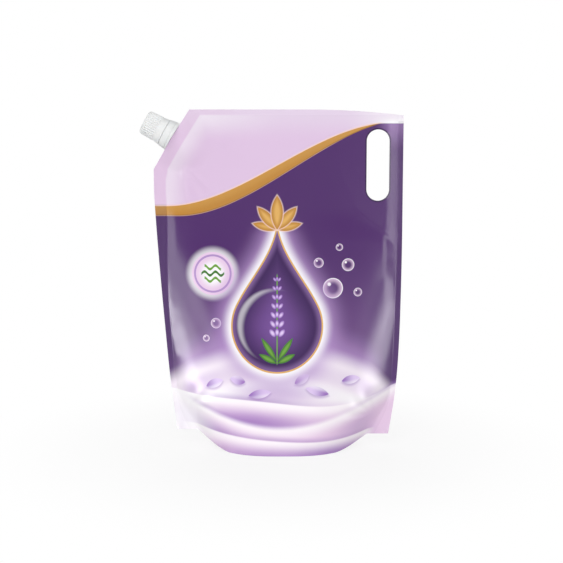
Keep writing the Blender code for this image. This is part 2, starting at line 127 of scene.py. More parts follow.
# Slow wave of the top weld, which dies out towards the spout
TOP_WAVE = 0.9 * MM
TOP_WAVE_LENGTH = 27 * MM
TOP_WAVE_FROM = 240 * MM
TOP_WAVE_BLEND = 70 * MM
SPOUT_CALM = 35 * MM
SPOUT_CALM_BLEND = 30 * MM

# Heights of the puckers at the welds and of the film's slack waves
PUCKER_HEIGHT = 0.14 * MM
SLACK_HEIGHT = 0.34 * MM

# Stretches over which folds and puckers die out: from the side, the top weld and the foot
FOLD_FADES = (9 * MM, 14 * MM, 9 * MM)
PUCKER_FADES = (2 * MM, 8 * MM, 14 * MM)

# Rays of small folds in the gusset's corners
RAY_HEIGHT = 0.35 * MM
RAY_LENGTH = 5.5 * MM
RAY_FROM = 30 * MM
RAY_BLEND = 25 * MM

# Boat-shaped weld base that holds the film apart at the spout
WELD_BASE_HALF_LENGTH = 20 * MM
WELD_BASE_HALF_THICKNESS = 7.4 * MM
WELD_BASE_DEPTH = 11.5 * MM
WELD_BASE_TIP = 0.6 * MM
BOAT_POWER = 0.9
FILM_OVER_BASE = 0.6 * MM
BOAT_STEPS = 24
TENT_LENGTH = 34 * MM
TENT_MARGIN = 12 * MM
TENT_POWER = 2
SEAT_GAP = 0.3 * MM

# Places worked out from the sizes above, measured from the middle line of the pouch
CUT_FOOT_HEIGHT = POUCH_HEIGHT - CUT_HEIGHT
CUT_ANGLE = math.atan2(CUT_WIDTH, CUT_HEIGHT)
CUT_INWARD = (math.cos(CUT_ANGLE), -math.sin(CUT_ANGLE))
CUT_ALONG = (math.sin(CUT_ANGLE), math.cos(CUT_ANGLE))
SPOUT_X = SPOUT_BASE.x - CENTRE_X
SPOUT_Z = SPOUT_BASE.z

# Cap, band and neck. Heights are along the spout's axis, from the cut edge.
SPOUT_TILT = math.atan2(SPOUT_AXIS.z, -SPOUT_AXIS.x)
FLANGE_RADIUS = 13.7 * MM
FLANGE_THICKNESS = 1.5 * MM
FLANGE_ROUND = 0.3 * MM
FLANGE_FILM_GAP = 0.08 * MM
FLANGE_LIFT = FLANGE_RADIUS * math.tan(abs(CUT_ANGLE - SPOUT_TILT)) + SEAT_GAP
BEAD_RADIUS = 10.4 * MM
BEAD_HEIGHT = 1.6 * MM
BEAD_GAP = 1.2 * MM
BAND_FOOT = FLANGE_LIFT + FLANGE_THICKNESS + SEAT_GAP
BAND_HEIGHT = 5.5 * MM
BAND_TOP_RADIUS = 12.8 * MM
BAND_FOOT_RADIUS = 13.5 * MM
BAND_WALL = 1.7 * MM
BAND_ROUND = 0.8 * MM
BAND_RAISE = 0.32 * MM
BAND_EDGE_BREAK = 0.3 * MM
BAND_FOOT_DROP = 0.2 * MM
TEAR_GAP = 0.5 * MM
BRIDGE_COUNT = 12
BRIDGE_GAP = 0.08 * MM
BRIDGE_ROOT = 0.2 * MM
BRIDGE_INSET = 1.35 * MM
BRIDGE_DEPTH = 0.7 * MM
BRIDGE_WIDTH = 1.1 * MM
CAP_FOOT = BAND_FOOT + BAND_HEIGHT + TEAR_GAP
CAP_LENGTH = 20.2 * MM
CAP_END = CAP_FOOT + CAP_LENGTH
CAP_SKIRT_HEIGHT = 6.6 * MM
CAP_SKIRT_RADIUS = 12.4 * MM
CAP_GRIP_FOOT_RADIUS = 11.3 * MM
CAP_END_RADIUS = 10.8 * MM
CAP_END_ROUND = 1.5 * MM
CAP_BORE_RADIUS = 9.3 * MM
CAP_SKIRT_BORE_RADIUS = 10.3 * MM
CAP_CEILING = CAP_END - 1.6 * MM
CAP_EDGE_BREAK = 0.35 * MM
CAP_END_DISH = 0.15 * MM
CAP_SHOULDER_WIDTH = 0.25 * MM
CAP_SHOULDER_HEIGHT = 1 * MM
CAP_BORE_FOOT = 4 * MM
CAP_SKIRT_BORE_TOP = 3 * MM
RIB_COUNT = 30
RIB_PROUD = 0.45 * MM
RIB_GROOVE = 0.4 * MM
RIB_POWER = 0.6
RIB_STEPS = 14
RIB_RUN_DOWN = 0.5 * MM
RIB_FADE_IN = 1.4 * MM
RIB_END_MARGIN = 1.0 * MM
RIB_FADE_OUT = 1.1 * MM
NECK_RADIUS = 7.7 * MM
NECK_BORE_RADIUS = 5 * MM
NECK_EDGE_BREAK = 0.4 * MM
NECK_HEIGHT = 25.4 * MM
THREAD_LEAD = 6 * MM
THREAD_STARTS = 2
THREAD_FADE = 1.2 * MM
NECK_THREAD_FOOT = 5.2 * MM
NECK_THREAD_END = 1.4 * MM
NECK_THREAD_PROUD = 0.9 * MM
NECK_THREAD_STEPS = 96
NECK_THREAD_FADE_STEPS = 10
NECK_THREAD_SINK = 0.12
NECK_THREAD_CREST = 0.9
CAP_THREAD_FOOT = 4.5 * MM
CAP_THREAD_END = 4.0 * MM
CAP_THREAD_PROUD = 0.6 * MM

# Section of the neck's thread: outward and upward places of its corners, in millimetres
NECK_THREAD_SECTION = (
    (-0.15, -0.85),
    (0.62, -0.5),
    (0.9, -0.25),
    (0.9, 0.25),
    (0.62, 0.5),
    (-0.15, 0.85),
)

# Blocks that cut the tips of the weld base down to the film's edge
TIP_CLEARANCE = 0.2 * MM
TIP_TOOL_END = WELD_BASE_HALF_LENGTH * 1.3
TIP_TOOL_HEIGHT = 6 * MM
TIP_TOOL_MIDDLE = 2.7 * MM

# Fineness of the meshes: the film, then the turned pieces
WELD_COLUMNS = 7
CHAMBER_COLUMNS = 160
SIDE_ROWS = 196
CUT_ROWS = 52
GUSSET_LANES = 22
ROUND_STEPS = 192
SKIRT_SPACING = 0.6 * MM
GRIP_SPACING = 0.35 * MM
END_SPACING = 1.6 * MM
BORE_SPACING = 0.25 * MM
BAND_SPACING = 0.5 * MM
JOIN_DISTANCE = 0.004 * MM
EMPTY_EDGE = 0.001 * MM

# Groove behind the skirt: share of the way to the back, and share of the groove's height
SKIRT_GROOVE = (
    (0.0, 0.0),
    (0.012, 0.1),
    (0.025, 0.5),
    (0.035, 0.95),
    (0.05, 1.0),
    (0.09, 0.72),
    (0.16, 0.3),
)

# Camera, fitted to the outline of the pouch in the photograph
IMAGE_SIDE = 563
FOCAL_PIXELS = 1187
CAMERA_DISTANCE = 1.1
CAMERA_PITCH = math.radians(7)
CAMERA_AIM = Vector((CENTRE_X + 3 * MM, 0.0, 154.2 * MM))


def share(value):
    """value kept between 0 and 1."""
    return np.clip(value, 0.0, 1.0)


def eased(value):
    """A smooth step from 0 to 1."""
    value = share(value)
    return value * value * (3 - 2 * value)


# Shape of the filled pouch. x is measured from its middle line, z is the nominal height.


def left_edge(z):
    """Left side of the panel, with the cut corner."""
    side = LEFT_TAPER * share(1 - z / STRAIGHT_SIDES_FROM) ** LEFT_TAPER_POWER
    cut = CUT_WIDTH * share((z - CUT_FOOT_HEIGHT) / CUT_HEIGHT)
    return -POUCH_WIDTH / 2 + np.maximum(side, cut)


def near_slot(z):
    """From 0 well below the slot to 1 beside it."""
    return eased((z - EDGE_CURL_FROM) / EDGE_CURL_BLEND)


def right_edge(z):
    """Right side of the panel."""
    below = share(1 - z / STRAIGHT_SIDES_FROM)
    outward = EDGE_REACH * near_slot(z)
    return POUCH_WIDTH / 2 - RIGHT_TAPER * below**RIGHT_TAPER_POWER + outward


def side_seal(z, width):
    """Width of a side weld, which widens to the foot."""
    above = share(1 - z / FOOT_SEAL_HEIGHT)
    return width + (FOOT_WIDTH - width) * above**FOOT_SEAL_POWER


def left_seal(z):
    """Width of the left weld, which also widens to the cut corner."""
    width = LEFT_SEAL + (LEFT_SEAL_TOP - LEFT_SEAL) * eased((z - LEFT_SEAL_FROM) / LEFT_SEAL_BLEND)
    return side_seal(z, width)


def chamber_left(z):
    """Left end of the filled chamber."""
    on_cut = eased((z - CUT_FOOT_HEIGHT + CUT_SEAL) / CUT_SEAL)
    cut_seal = CUT_SEAL / math.cos(CUT_ANGLE)
    return left_edge(z) + left_seal(z) * (1 - on_cut) + cut_seal * on_cut


def chamber_right(z):
    """Right end of the filled chamber, beside the welded field of the slot."""
    beside_slot = eased((z - SLOT_WELD_FOOT + SLOT_WELD_BLEND) / SLOT_WELD_BLEND)
    seal = side_seal(z, RIGHT_SEAL) * (1 - beside_slot)
    return right_edge(z) - seal - SLOT_WELD_WIDTH * beside_slot


def across_chamber(x, z):
    """Place across the chamber, from -1 to 1, and beyond that in the welds."""
    left = chamber_left(z)
    right = chamber_right(z)
    return (2 * x - left - right) / (right - left)


def chamber_bulge(x, z):
    """How far the filled film stands from the middle plane."""
    rise = share(z / (POUCH_HEIGHT - TOP_SEAL))
    swell = BELLY_SWELL * np.sin(math.pi * share(z / (2 * BELLY_HEIGHT)))
    depth = BASE_HALF_DEPTH * (1 - rise**DEPTH_FALL) ** DEPTH_POWER + swell
    blend = eased(z / SECTION_CHANGE_HEIGHT)
    fullness = BASE_SECTION[0] + (BODY_SECTION[0] - BASE_SECTION[0]) * blend
    roundness = BASE_SECTION[1] + (BODY_SECTION[1] - BASE_SECTION[1]) * blend
    place = across_chamber(x, z)
    beside_slot = eased((z - SLOT_WELD_FOOT + 2 * SLOT_WELD_BLEND) / (2 * SLOT_WELD_BLEND))
    roundness = roundness + SLOT_SOFTNESS * beside_slot * share(place)
    return depth * (1 - share(abs(place)) ** fullness) ** roundness


def spout_tent(x, z):
    """How far the weld base of the spout holds the film apart."""
    along = (x - SPOUT_X) * CUT_ALONG[0] + (z - SPOUT_Z) * CUT_ALONG[1]
    inward = (x - SPOUT_X) * CUT_INWARD[0] + (z - SPOUT_Z) * CUT_INWARD[1]
    place = share(abs(along) / (WELD_BASE_HALF_LENGTH + TENT_MARGIN))
    beyond = (inward - WELD_BASE_DEPTH - SEAT_GAP) / TENT_LENGTH
    crown = WELD_BASE_HALF_THICKNESS + SEAT_GAP + FILM_OVER_BASE
    return crown * (1 - place**2) ** TENT_POWER * (1 - eased(beyond))


def true_height(x, z):
    """Real height of a nominal place: the feet turn up and the right top corner droops."""
    place = across_chamber(x, np.zeros_like(z))
    outward = share((abs(place) - FOOT_RAISE_FROM) / (1 - FOOT_RAISE_FROM))
    raised = np.where(place < 0, LEFT_FOOT_RAISE, RIGHT_FOOT_RAISE) * outward**FOOT_RAISE_POWER
    near_foot = 1 - eased(z / FOOT_RAISE_HEIGHT)
    droop = share((x - POUCH_WIDTH / 2 + TOP_DROOP_LENGTH) / TOP_DROOP_LENGTH) ** 2
    near_top = eased(1 - (POUCH_HEIGHT - z) / TOP_DROOP_HEIGHT)
    return z + raised * near_foot - TOP_DROOP * droop * near_top


# Wrinkles and waves of the film, on top of the main shape


def crease(x, z, start, heading, length, width, height):
    """One soft fold that runs from a start point. It widens and fades along its way."""
    turn = math.radians(heading)
    out_x = x - start[0] * MM
    out_z = z - start[1] * MM
    along = (out_x * math.cos(turn) + out_z * math.sin(turn)) / (length * MM)
    aside = (out_z * math.cos(turn) - out_x * math.sin(turn)) / (width * MM)
    spread = 0.5 + share(along)
    fade = eased(along * 5) * (1 - eased(along))
    return height * MM * np.exp(-((aside / spread) ** 2)) * fade


def foot_creases(x, z):
    """Folds that fan out of the two lower corners, where the gusset is pinched."""
    folds = np.zeros_like(x)
    left = (-84.0, 26.0)
    right = (88.0, 22.0)
    for fan in (64, 40, 14):
        folds += crease(x, z, left, fan, 46, 3.4, 0.9)
        folds -= crease(x, z, left, fan + 12, 42, 3.0, 0.7)
        folds += crease(x, z, right, 180 - fan, 46, 3.4, 0.8)
        folds -= crease(x, z, right, 168 - fan, 42, 3.0, 0.7)
    return folds


def spout_creases(x, z):
    """Folds that run inward from the ends of the weld base."""
    folds = np.zeros_like(x)
    upper = (-68.0, 296.0)
    lower = (-88.0, 262.0)
    for fan in (-8, -30):
        folds += crease(x, z, upper, fan, 50, 3.6, 0.8)
    for fan in (-42, -64, -84):
        folds += crease(x, z, lower, fan, 62, 4.0, 0.9)
    folds -= crease(x, z, lower, -53, 50, 3.4, 0.6)
    return folds


def slot_crease(x, z):
    """The fold from the lower corner of the welded field round the slot."""
    corner = (76.0, 222.0)
    return crease(x, z, corner, 243, 78, 6.4, 0.5)


def weld_puckers(x, z, number):
    """Short puckers beside the side welds. The panel's number shifts them."""
    depth_inside = np.minimum(x - chamber_left(z), chamber_right(z) - x)
    swing = 2.2 * np.sin(z / (23 * MM) + number)
    rhythm = np.sin(z / (4.1 * MM) + swing) + 0.6 * np.sin(z / (2.6 * MM) + number)
    strength = 0.5 + 0.5 * np.sin(z / (31 * MM) + 1.7 * number + np.sign(x))
    reach = np.exp(-((depth_inside - 3 * MM) ** 2) / (6 * MM) ** 2)
    return PUCKER_HEIGHT * rhythm * strength * reach


def slack_waves(x, z, number):
    """Broad shallow waves of the film, strongest where the chamber holds air."""
    high = 0.35 + 0.65 * eased(z / POUCH_HEIGHT)
    first = np.sin(x / (21 * MM) + z / (34 * MM) + 1.3 * number)
    second = np.sin(x / (13 * MM) - z / (19 * MM) + 0.8 + number)
    third = np.sin(z / (11 * MM) + 1.4 * np.sin(x / (25 * MM)) + 2.0 * number)
    return SLACK_HEIGHT * high * (first + 0.55 * second + 0.35 * third)


def film_relief(x, z, number):
    """All wrinkles of one panel. They die out towards the welds, which are flat."""
    inside = np.minimum(x - chamber_left(z), chamber_right(z) - x)
    below_top = POUCH_HEIGHT - TOP_SEAL - z
    free = eased(inside / FOLD_FADES[0]) * eased(below_top / FOLD_FADES[1]) * eased(z / FOLD_FADES[2])
    folds = foot_creases(x, z) + spout_creases(x, z) + slot_crease(x, z)
    near_weld = eased(inside / PUCKER_FADES[0]) * eased(z / PUCKER_FADES[2])
    near_weld = near_weld * eased(below_top / PUCKER_FADES[1])
    return (folds + slack_waves(x, z, number)) * free + weld_puckers(x, z, number) * near_weld


def sheet_bend(x, z):
    """How far the flat welded film itself bows towards the back."""
    edge = eased((x - POUCH_WIDTH / 2 + EDGE_CURL_WIDTH) / EDGE_CURL_WIDTH)
    curl = EDGE_CURL * edge * near_slot(z)
    top = TOP_WAVE * np.sin(x / TOP_WAVE_LENGTH) * eased((z - TOP_WAVE_FROM) / TOP_WAVE_BLEND)
    calm = eased((x - SPOUT_X - SPOUT_CALM) / SPOUT_CALM_BLEND)
    return curl + top * calm


# The film's mesh: two panels, the rim between them, and the gusset under them


def row_heights():
    """Nominal heights of the rows, closer along the cut edge."""
    side = np.linspace(0.0, CUT_FOOT_HEIGHT, SIDE_ROWS + 1)
    cut = np.linspace(CUT_FOOT_HEIGHT, POUCH_HEIGHT, CUT_ROWS + 1)
    return np.concatenate([side, cut[1:]])


def column_places(z):
    """Places of all columns at the given heights. The weld lines follow a column."""
    number = np.linspace(0.0, 1.0, CHAMBER_COLUMNS + 1)
    number = (number + (1 - np.cos(math.pi * number)) / 2) / 2
    left = chamber_left(z)[:, None]
    right = chamber_right(z)[:, None]
    chamber = left + (right - left) * number
    weld = np.linspace(0.0, 1.0, WELD_COLUMNS + 1)
    left_weld = left_edge(z)[:, None] * (1 - weld) + left * weld
    right_weld = right * (1 - weld) + right_edge(z)[:, None] * weld
    return np.hstack([left_weld[:, :-1], chamber, right_weld[:, 1:]])


def panel_grid(side, number):
    """Points of one panel: side is -1 for the front and 1 for the back."""
    heights = row_heights()
    x = column_places(heights)
    z = np.repeat(heights[:, None], x.shape[1], axis=1)
    relief = film_relief(x, z, number)
    half = FIN_THICKNESS / 2 + np.hypot(chamber_bulge(x, z), spout_tent(x, z)) + relief
    half = np.maximum(half, FIN_THICKNESS / 2)
    y = side * np.minimum(half, POUCH_HIGH.y) + sheet_bend(x, z)
    return np.dstack([x + CENTRE_X, y, true_height(x, z)])


def gusset_grid(front, back):
    """Points under the pouch, from the front bottom edge to the back one."""
    flat = np.linspace((1 - BELLY_FLAT_SHARE) / 2, 0.5, GUSSET_LANES // 2 - len(SKIRT_GROOVE) + 2)
    half = list(SKIRT_GROOVE) + [(place, 0.0) for place in flat]
    lanes = half + [(1 - place, lift) for place, lift in reversed(half[:-1])]
    place = np.array([lane[0] for lane in lanes])[:, None, None]
    lift = np.array([lane[1] for lane in lanes])[:, None]
    even = np.linspace(0.0, 1.0, len(lanes))[:, None, None]
    x = front[:, 0] - CENTRE_X
    fullness = eased(2 * share(1 - abs(across_chamber(x, np.zeros_like(x)))))
    blend = even + (place - even) * fullness[None, :, None]
    points = front[None] + (back - front)[None] * blend
    points[:, :, 2] += SKIRT_GROOVE_HEIGHT * lift * fullness
    rays = np.sin(x / RAY_LENGTH) * eased((abs(x) - RAY_FROM) / RAY_BLEND)
    points[:, :, 2] += RAY_HEIGHT * rays * np.sin(math.pi * even[:, :, 0]) * fullness
    points[:, :, 2] = np.maximum(points[:, :, 2], 0.0)
    return points


def quads(ids):
    """Faces between the neighbours of a grid of vertex numbers."""
    corners = (ids[:-1, :-1], ids[:-1, 1:], ids[1:, 1:], ids[1:, :-1])
    return np.stack(corners, axis=-1).reshape(-1, 4)


def numbered(shape, start):
    """A grid of running vertex numbers."""
    return np.arange(start, start + shape[0] * shape[1]).reshape(shape)


def film_patches():
    """All points of the film, and its patches of faces with their surface numbers."""
    front = panel_grid(-1, 0.0)
    back = panel_grid(1, 2.4)
    gusset = gusset_grid(front[0], back[0])[1:-1]
    points = [front.reshape(-1, 3), back.reshape(-1, 3), gusset.reshape(-1, 3)]
    start = 0
    grids = []
    for grid in (front, back, gusset):
        grids.append(numbered(grid.shape[:2], start))
        start += grids[-1].size
    front_ids, back_ids, gusset_ids = grids
    under = np.vstack([front_ids[:1], gusset_ids, back_ids[:1]])
    top = np.vstack([front_ids[-1], back_ids[-1]])
    left = np.column_stack([back_ids[:, 0], front_ids[:, 0]])
    right = np.column_stack([front_ids[:, -1], back_ids[:, -1]])
    patches = [
        (quads(front_ids), 0),
        (quads(back_ids[:, ::-1]), 1),
        (quads(left), 0),
        (quads(right), 0),
        (quads(top), 0),
        (quads(under[::-1]), 2),
    ]
    return np.vstack(points), patches


def placed_object(name, data):
    """An object with the given data, put into the scene."""
    made = bpy.data.objects.new(name, data)
    bpy.context.scene.collection.objects.link(made)
    return made


def mesh_object(name, points, faces):
    """An object from arrays of points and faces."""
    data = bpy.data.meshes.new(name)
    data.from_pydata(np.asarray(points).tolist(), [], [list(map(int, face)) for face in faces])
    return placed_object(name, data)


def clean_mesh(made):
    """Joins doubled points and drops faces without area."""
    mesh = bmesh.new()
    mesh.from_mesh(made.data)
    bmesh.ops.remove_doubles(mesh, verts=mesh.verts, dist=JOIN_DISTANCE)
    bmesh.ops.dissolve_degenerate(mesh, edges=mesh.edges, dist=EMPTY_EDGE)
    mesh.to_mesh(made.data)
    mesh.free()


def slot_tool():
    """Bar with round ends that cuts the handle slot."""
    radius = SLOT_WIDTH / 2
    mesh = bmesh.new()
    places = []
    for top, start in ((1, 0.0), (-1, math.pi)):
        centre = SLOT_Z + top * (SLOT_HEIGHT / 2 - radius)
        for step in range(SLOT_ROUND_STEPS + 1):
            turn = start + math.pi * step / SLOT_ROUND_STEPS
            across = SLOT_X + CENTRE_X + radius * math.cos(turn)
            places.append((across, centre + radius * math.sin(turn)))
    face = mesh.faces.new([mesh.verts.new((x, -SLOT_TOOL_REACH, z)) for x, z in places])
    raised = bmesh.ops.extrude_face_region(mesh, geom=[face])["geom"]
    moved = [item for item in raised if isinstance(item, bmesh.types.BMVert)]
    bmesh.ops.translate(mesh, verts=moved, vec=(0.0, 2 * SLOT_TOOL_REACH, 0.0))
    bmesh.ops.recalc_face_normals(mesh, faces=mesh.faces)
    return built_object("slot_tool", mesh)


def boat_mesh(low, high, spare):
    """Boat-shaped block between two heights on the spout's axis, with some spare all round."""
    mesh = bmesh.new()
    loops = []
    bow = WELD_BASE_HALF_THICKNESS + spare - WELD_BASE_TIP
    for height in (low, high):
        loop = []
        for side in (-1, 1):
            for step in range(BOAT_STEPS):
                along = side * math.cos(math.pi * step / BOAT_STEPS)
                width = WELD_BASE_TIP + bow * max(0.0, 1 - along**2) ** BOAT_POWER
                place = (along * (WELD_BASE_HALF_LENGTH + spare), side * width, height)
                loop.append(mesh.verts.new(place))
        loops.append(loop)
    foot, top = loops
    for i, vertex in enumerate(foot):
        after = (i + 1) % len(foot)
        mesh.faces.new((vertex, foot[after], top[after], top[i]))
    mesh.faces.new(list(reversed(foot)))
    mesh.faces.new(top)
    mesh.transform(spout_frame())
    bmesh.ops.recalc_face_normals(mesh, faces=mesh.faces)
    return mesh


def pocket_tool():
    """The room of the weld base in the film."""
    return built_object("pocket_tool", boat_mesh(-WELD_BASE_DEPTH - SEAT_GAP, FLANGE_LIFT, SEAT_GAP))


def built_object(name, mesh):
    """An object from a mesh that was built face by face."""
    data = bpy.data.meshes.new(name)
    mesh.to_mesh(data)
    mesh.free()
    return placed_object(name, data)


def cut_away(target, tool):
    """Cuts the tool out of the target for good."""
    step = target.modifiers.new("cut", "BOOLEAN")
    step.operation = "DIFFERENCE"
    step.solver = "EXACT"
    step.object = tool
    apply_modifiers(target)
    bpy.data.objects.remove(tool)


def apply_modifiers(made):
    """Bakes an object's modifiers into its mesh."""
    graph = bpy.context.evaluated_depsgraph_get()
    done = bpy.data.meshes.new_from_object(made.evaluated_get(graph))
    made.modifiers.clear()
    made.data = done


def make_film():
    """The whole pouch of film, with its slot and the pocket of the spout."""
    points, patches = film_patches()
    faces = np.vstack([patch for patch, _ in patches])
    surface = np.concatenate([np.full(len(patch), number) for patch, number in patches])
    film = mesh_object("pouch_film", points, faces)
    for surface_material in (front_film(), back_film(), gusset_film()):
        film.data.materials.append(surface_material)
    film.data.polygons.foreach_set("material_index", surface.astype(np.int32))
    clean_mesh(film)
    cut_away(film, slot_tool())
    cut_away(film, pocket_tool())
    film.data.shade_smooth()
    film.data.set_sharp_from_angle(angle=math.radians(50))
    add_weld_field(film)
    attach(film, "pouch_body")
    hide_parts("pouch")
    return film


def add_weld_field(film):
    """Each point's distance into the welds, in millimetres, for the film's materials."""
    count = len(film.data.vertices)
    places = np.zeros(count * 3, np.float32)
    film.data.vertices.foreach_get("co", places)
    places = places.reshape(-1, 3).astype(float)
    x = places[:, 0] - CENTRE_X
    z = np.minimum(places[:, 2], POUCH_HEIGHT)
    side = np.maximum(chamber_left(z) - x, x - right_edge(z) + side_seal(z, RIGHT_SEAL))
    top = z - (POUCH_HEIGHT - TOP_BAND)
    field = film.data.attributes.new("weld", "FLOAT", "POINT")
    field.data.foreach_set("value", (np.maximum(side, top) / MM).astype(np.float32))


# Shader arithmetic. Printed edges blend over a fine width in millimetres.
EDGE_SOFTNESS = 0.18


class Term:
    """One number inside a shader. Plain arithmetic on terms makes Math nodes."""

    def __init__(self, tree, socket):
        self.tree = tree
        self.socket = socket

    def __add__(self, other):
        return calculate("ADD", self, other)

    def __radd__(self, other):
        return calculate("ADD", other, self)

    def __sub__(self, other):
        return calculate("SUBTRACT", self, other)

    def __rsub__(self, other):
        return calculate("SUBTRACT", other, self)

    def __mul__(self, other):
        return calculate("MULTIPLY", self, other)

    def __truediv__(self, other):
        return calculate("DIVIDE", self, other)

    def __abs__(self):
        return calculate("ABSOLUTE", self)


def calculate(operation, *values):
    """One Math node on terms and plain numbers."""
    tree = next(value.tree for value in values if isinstance(value, Term))
    node = tree.nodes.new("ShaderNodeMath")
    node.operation = operation
    for socket, value in zip(node.inputs, values):
        feed(value, socket)
    return Term(tree, node.outputs["Value"])


def feed(value, socket):
    """Puts a term, a colour or a number on a socket."""
    if isinstance(value, Term):
        value.tree.links.new(value.socket, socket)
    else:
        socket.default_value = value


def smooth(value, low, high):
    """A smooth step from 0 at low to 1 at high."""
    node = value.tree.nodes.new("ShaderNodeMapRange")
    node.interpolation_type = "SMOOTHSTEP"
    feed(value, node.inputs["Value"])
    feed(low, node.inputs["From Min"])
    feed(high, node.inputs["From Max"])
    return Term(value.tree, node.outputs["Result"])


def length(first, second):
    """Distance from the origin."""
    return calculate("SQRT", first * first + second * second)


def circle_distance(x, z, centre, radius):
    """Distance from the edge of a circle."""
    return length(x - centre[0], z - centre[1]) - radius


def inside(distance, soft=EDGE_SOFTNESS):
    """1 inside a shape and 0 outside, with a fine soft edge. Distances are in millimetres."""
    return smooth(distance, soft, -soft)


def line(distance, half_width):
    """1 on a line along a shape's edge."""
    return inside(abs(distance) - half_width)


def both(first, second):
    """1 where both are 1."""
    return first * second


def either(first, second):
    """1 where one of them is 1."""
    return calculate("MAXIMUM", first, second)


def turned_place(x, z, centre, angle):
    """A place as seen from a centre, turned by an angle in degrees."""
    turn = math.radians(angle)
    out_x = x - centre[0]
    out_z = z - centre[1]
    return (
        out_x * math.cos(turn) + out_z * math.sin(turn),
        out_z * math.cos(turn) - out_x * math.sin(turn),
    )


def srgb(red, green, blue):
    """A colour as the eye names it, from 0 to 255, for a shader."""
    parts = []
    for part in (red, green, blue):
        part = part / 255
        parts.append(part / 12.92 if part <= 0.04045 else ((part + 0.055) / 1.055) ** 2.4)
    return (*parts, 1.0)


def layer(below, above, cover):
    """The colour above laid over the colour below where cover is 1."""
    tree = cover.tree
    node = tree.nodes.new("ShaderNodeMix")
    node.data_type = "RGBA"
    feed(cover, node.inputs["Factor"])
    feed(below, node.inputs[6])
    feed(above, node.inputs[7])
    return Term(tree, node.outputs[2])


def new_material(name):
    """A material with its tree and its main shader."""
    made = bpy.data.materials.new(name)
    made.use_nodes = True
    return made, made.node_tree, made.node_tree.nodes["Principled BSDF"]


def object_place(tree):
    """The place on a piece, in its own frame."""
    return tree.nodes.new("ShaderNodeTexCoord").outputs["Object"]


def panel_place(tree):
    """Place on the pouch in millimetres: across from its middle line, and up."""
    split = tree.nodes.new("ShaderNodeSeparateXYZ")
    tree.links.new(object_place(tree), split.inputs[0])
    x = (Term(tree, split.outputs["X"]) - CENTRE_X) / MM
    z = Term(tree, split.outputs["Z"]) / MM
    return x, z


def noise(tree, scale, detail=2.0, roughness=0.5):
    """Noise in the piece's own frame. The scale counts features to the metre."""
    node = tree.nodes.new("ShaderNodeTexNoise")
    node.inputs["Scale"].default_value = scale
    node.inputs["Detail"].default_value = detail
    node.inputs["Roughness"].default_value = roughness
    tree.links.new(object_place(tree), node.inputs["Vector"])
    return Term(tree, node.outputs["Fac"])


def named_field(tree, name):
    """A value that the mesh carries."""
    node = tree.nodes.new("ShaderNodeAttribute")
    node.attribute_type = "GEOMETRY"
    node.attribute_name = name
    return Term(tree, node.outputs["Fac"])


def bump(tree, shader, height, distance, strength):
    """Fine relief on a shader. The distance is the relief's real height."""
    node = tree.nodes.new("ShaderNodeBump")
    node.inputs["Strength"].default_value = strength
    node.inputs["Distance"].default_value = distance
    feed(height, node.inputs["Height"])
    tree.links.new(node.outputs[0], shader.inputs["Normal"])


# Colours of the print, the plastic and the foam
LILAC_TOP = srgb(229, 211, 233)
LILAC = srgb(225, 197, 228)
LILAC_PALE = srgb(246, 240, 248)
PURPLE = srgb(81, 44, 108)
PURPLE_LOW = srgb(112, 78, 134)
GOLD = srgb(196, 138, 56)
GOLD_LIGHT = srgb(226, 176, 92)
GOLD_DARK = srgb(138, 88, 44)
PINK_LINE = srgb(246, 214, 204)
STRIPE_LINE = srgb(222, 176, 150)
CREAM = srgb(253, 246, 252)
CREAM_SHADE = srgb(236, 208, 235)
CREAM_DEEP = srgb(183, 146, 206)
VEIL = srgb(243, 233, 244)
FOLD_DEEP = srgb(158, 114, 190)
WHITE = srgb(252, 250, 253)
PLASTIC_WHITE = srgb(239, 240, 240)
PLASTIC_SHADE = srgb(222, 228, 226)
FOAM_LIGHT = srgb(232, 234, 236)
FOAM_DARK = srgb(205, 208, 212)
LEAF = srgb(112, 166, 62)
LEAF_DARK = srgb(64, 122, 44)

# Stripe across the panel: heights of its two edges in millimetres, at the left and at the right
STRIPE_TOP = (224.2, 300.2)
STRIPE_TOP_SPAN = (-103.1, 104.4)
STRIPE_FOOT = (215.3, 303.0)
STRIPE_FOOT_SPAN = (-92.0, 120.0)
PURPLE_TOP = 299.5


def stripe_edge(x, span, heights):
    """Height of one edge of the stripe: a single soft S from left to right."""
    return smooth(x, *span) * (heights[1] - heights[0]) + heights[0]


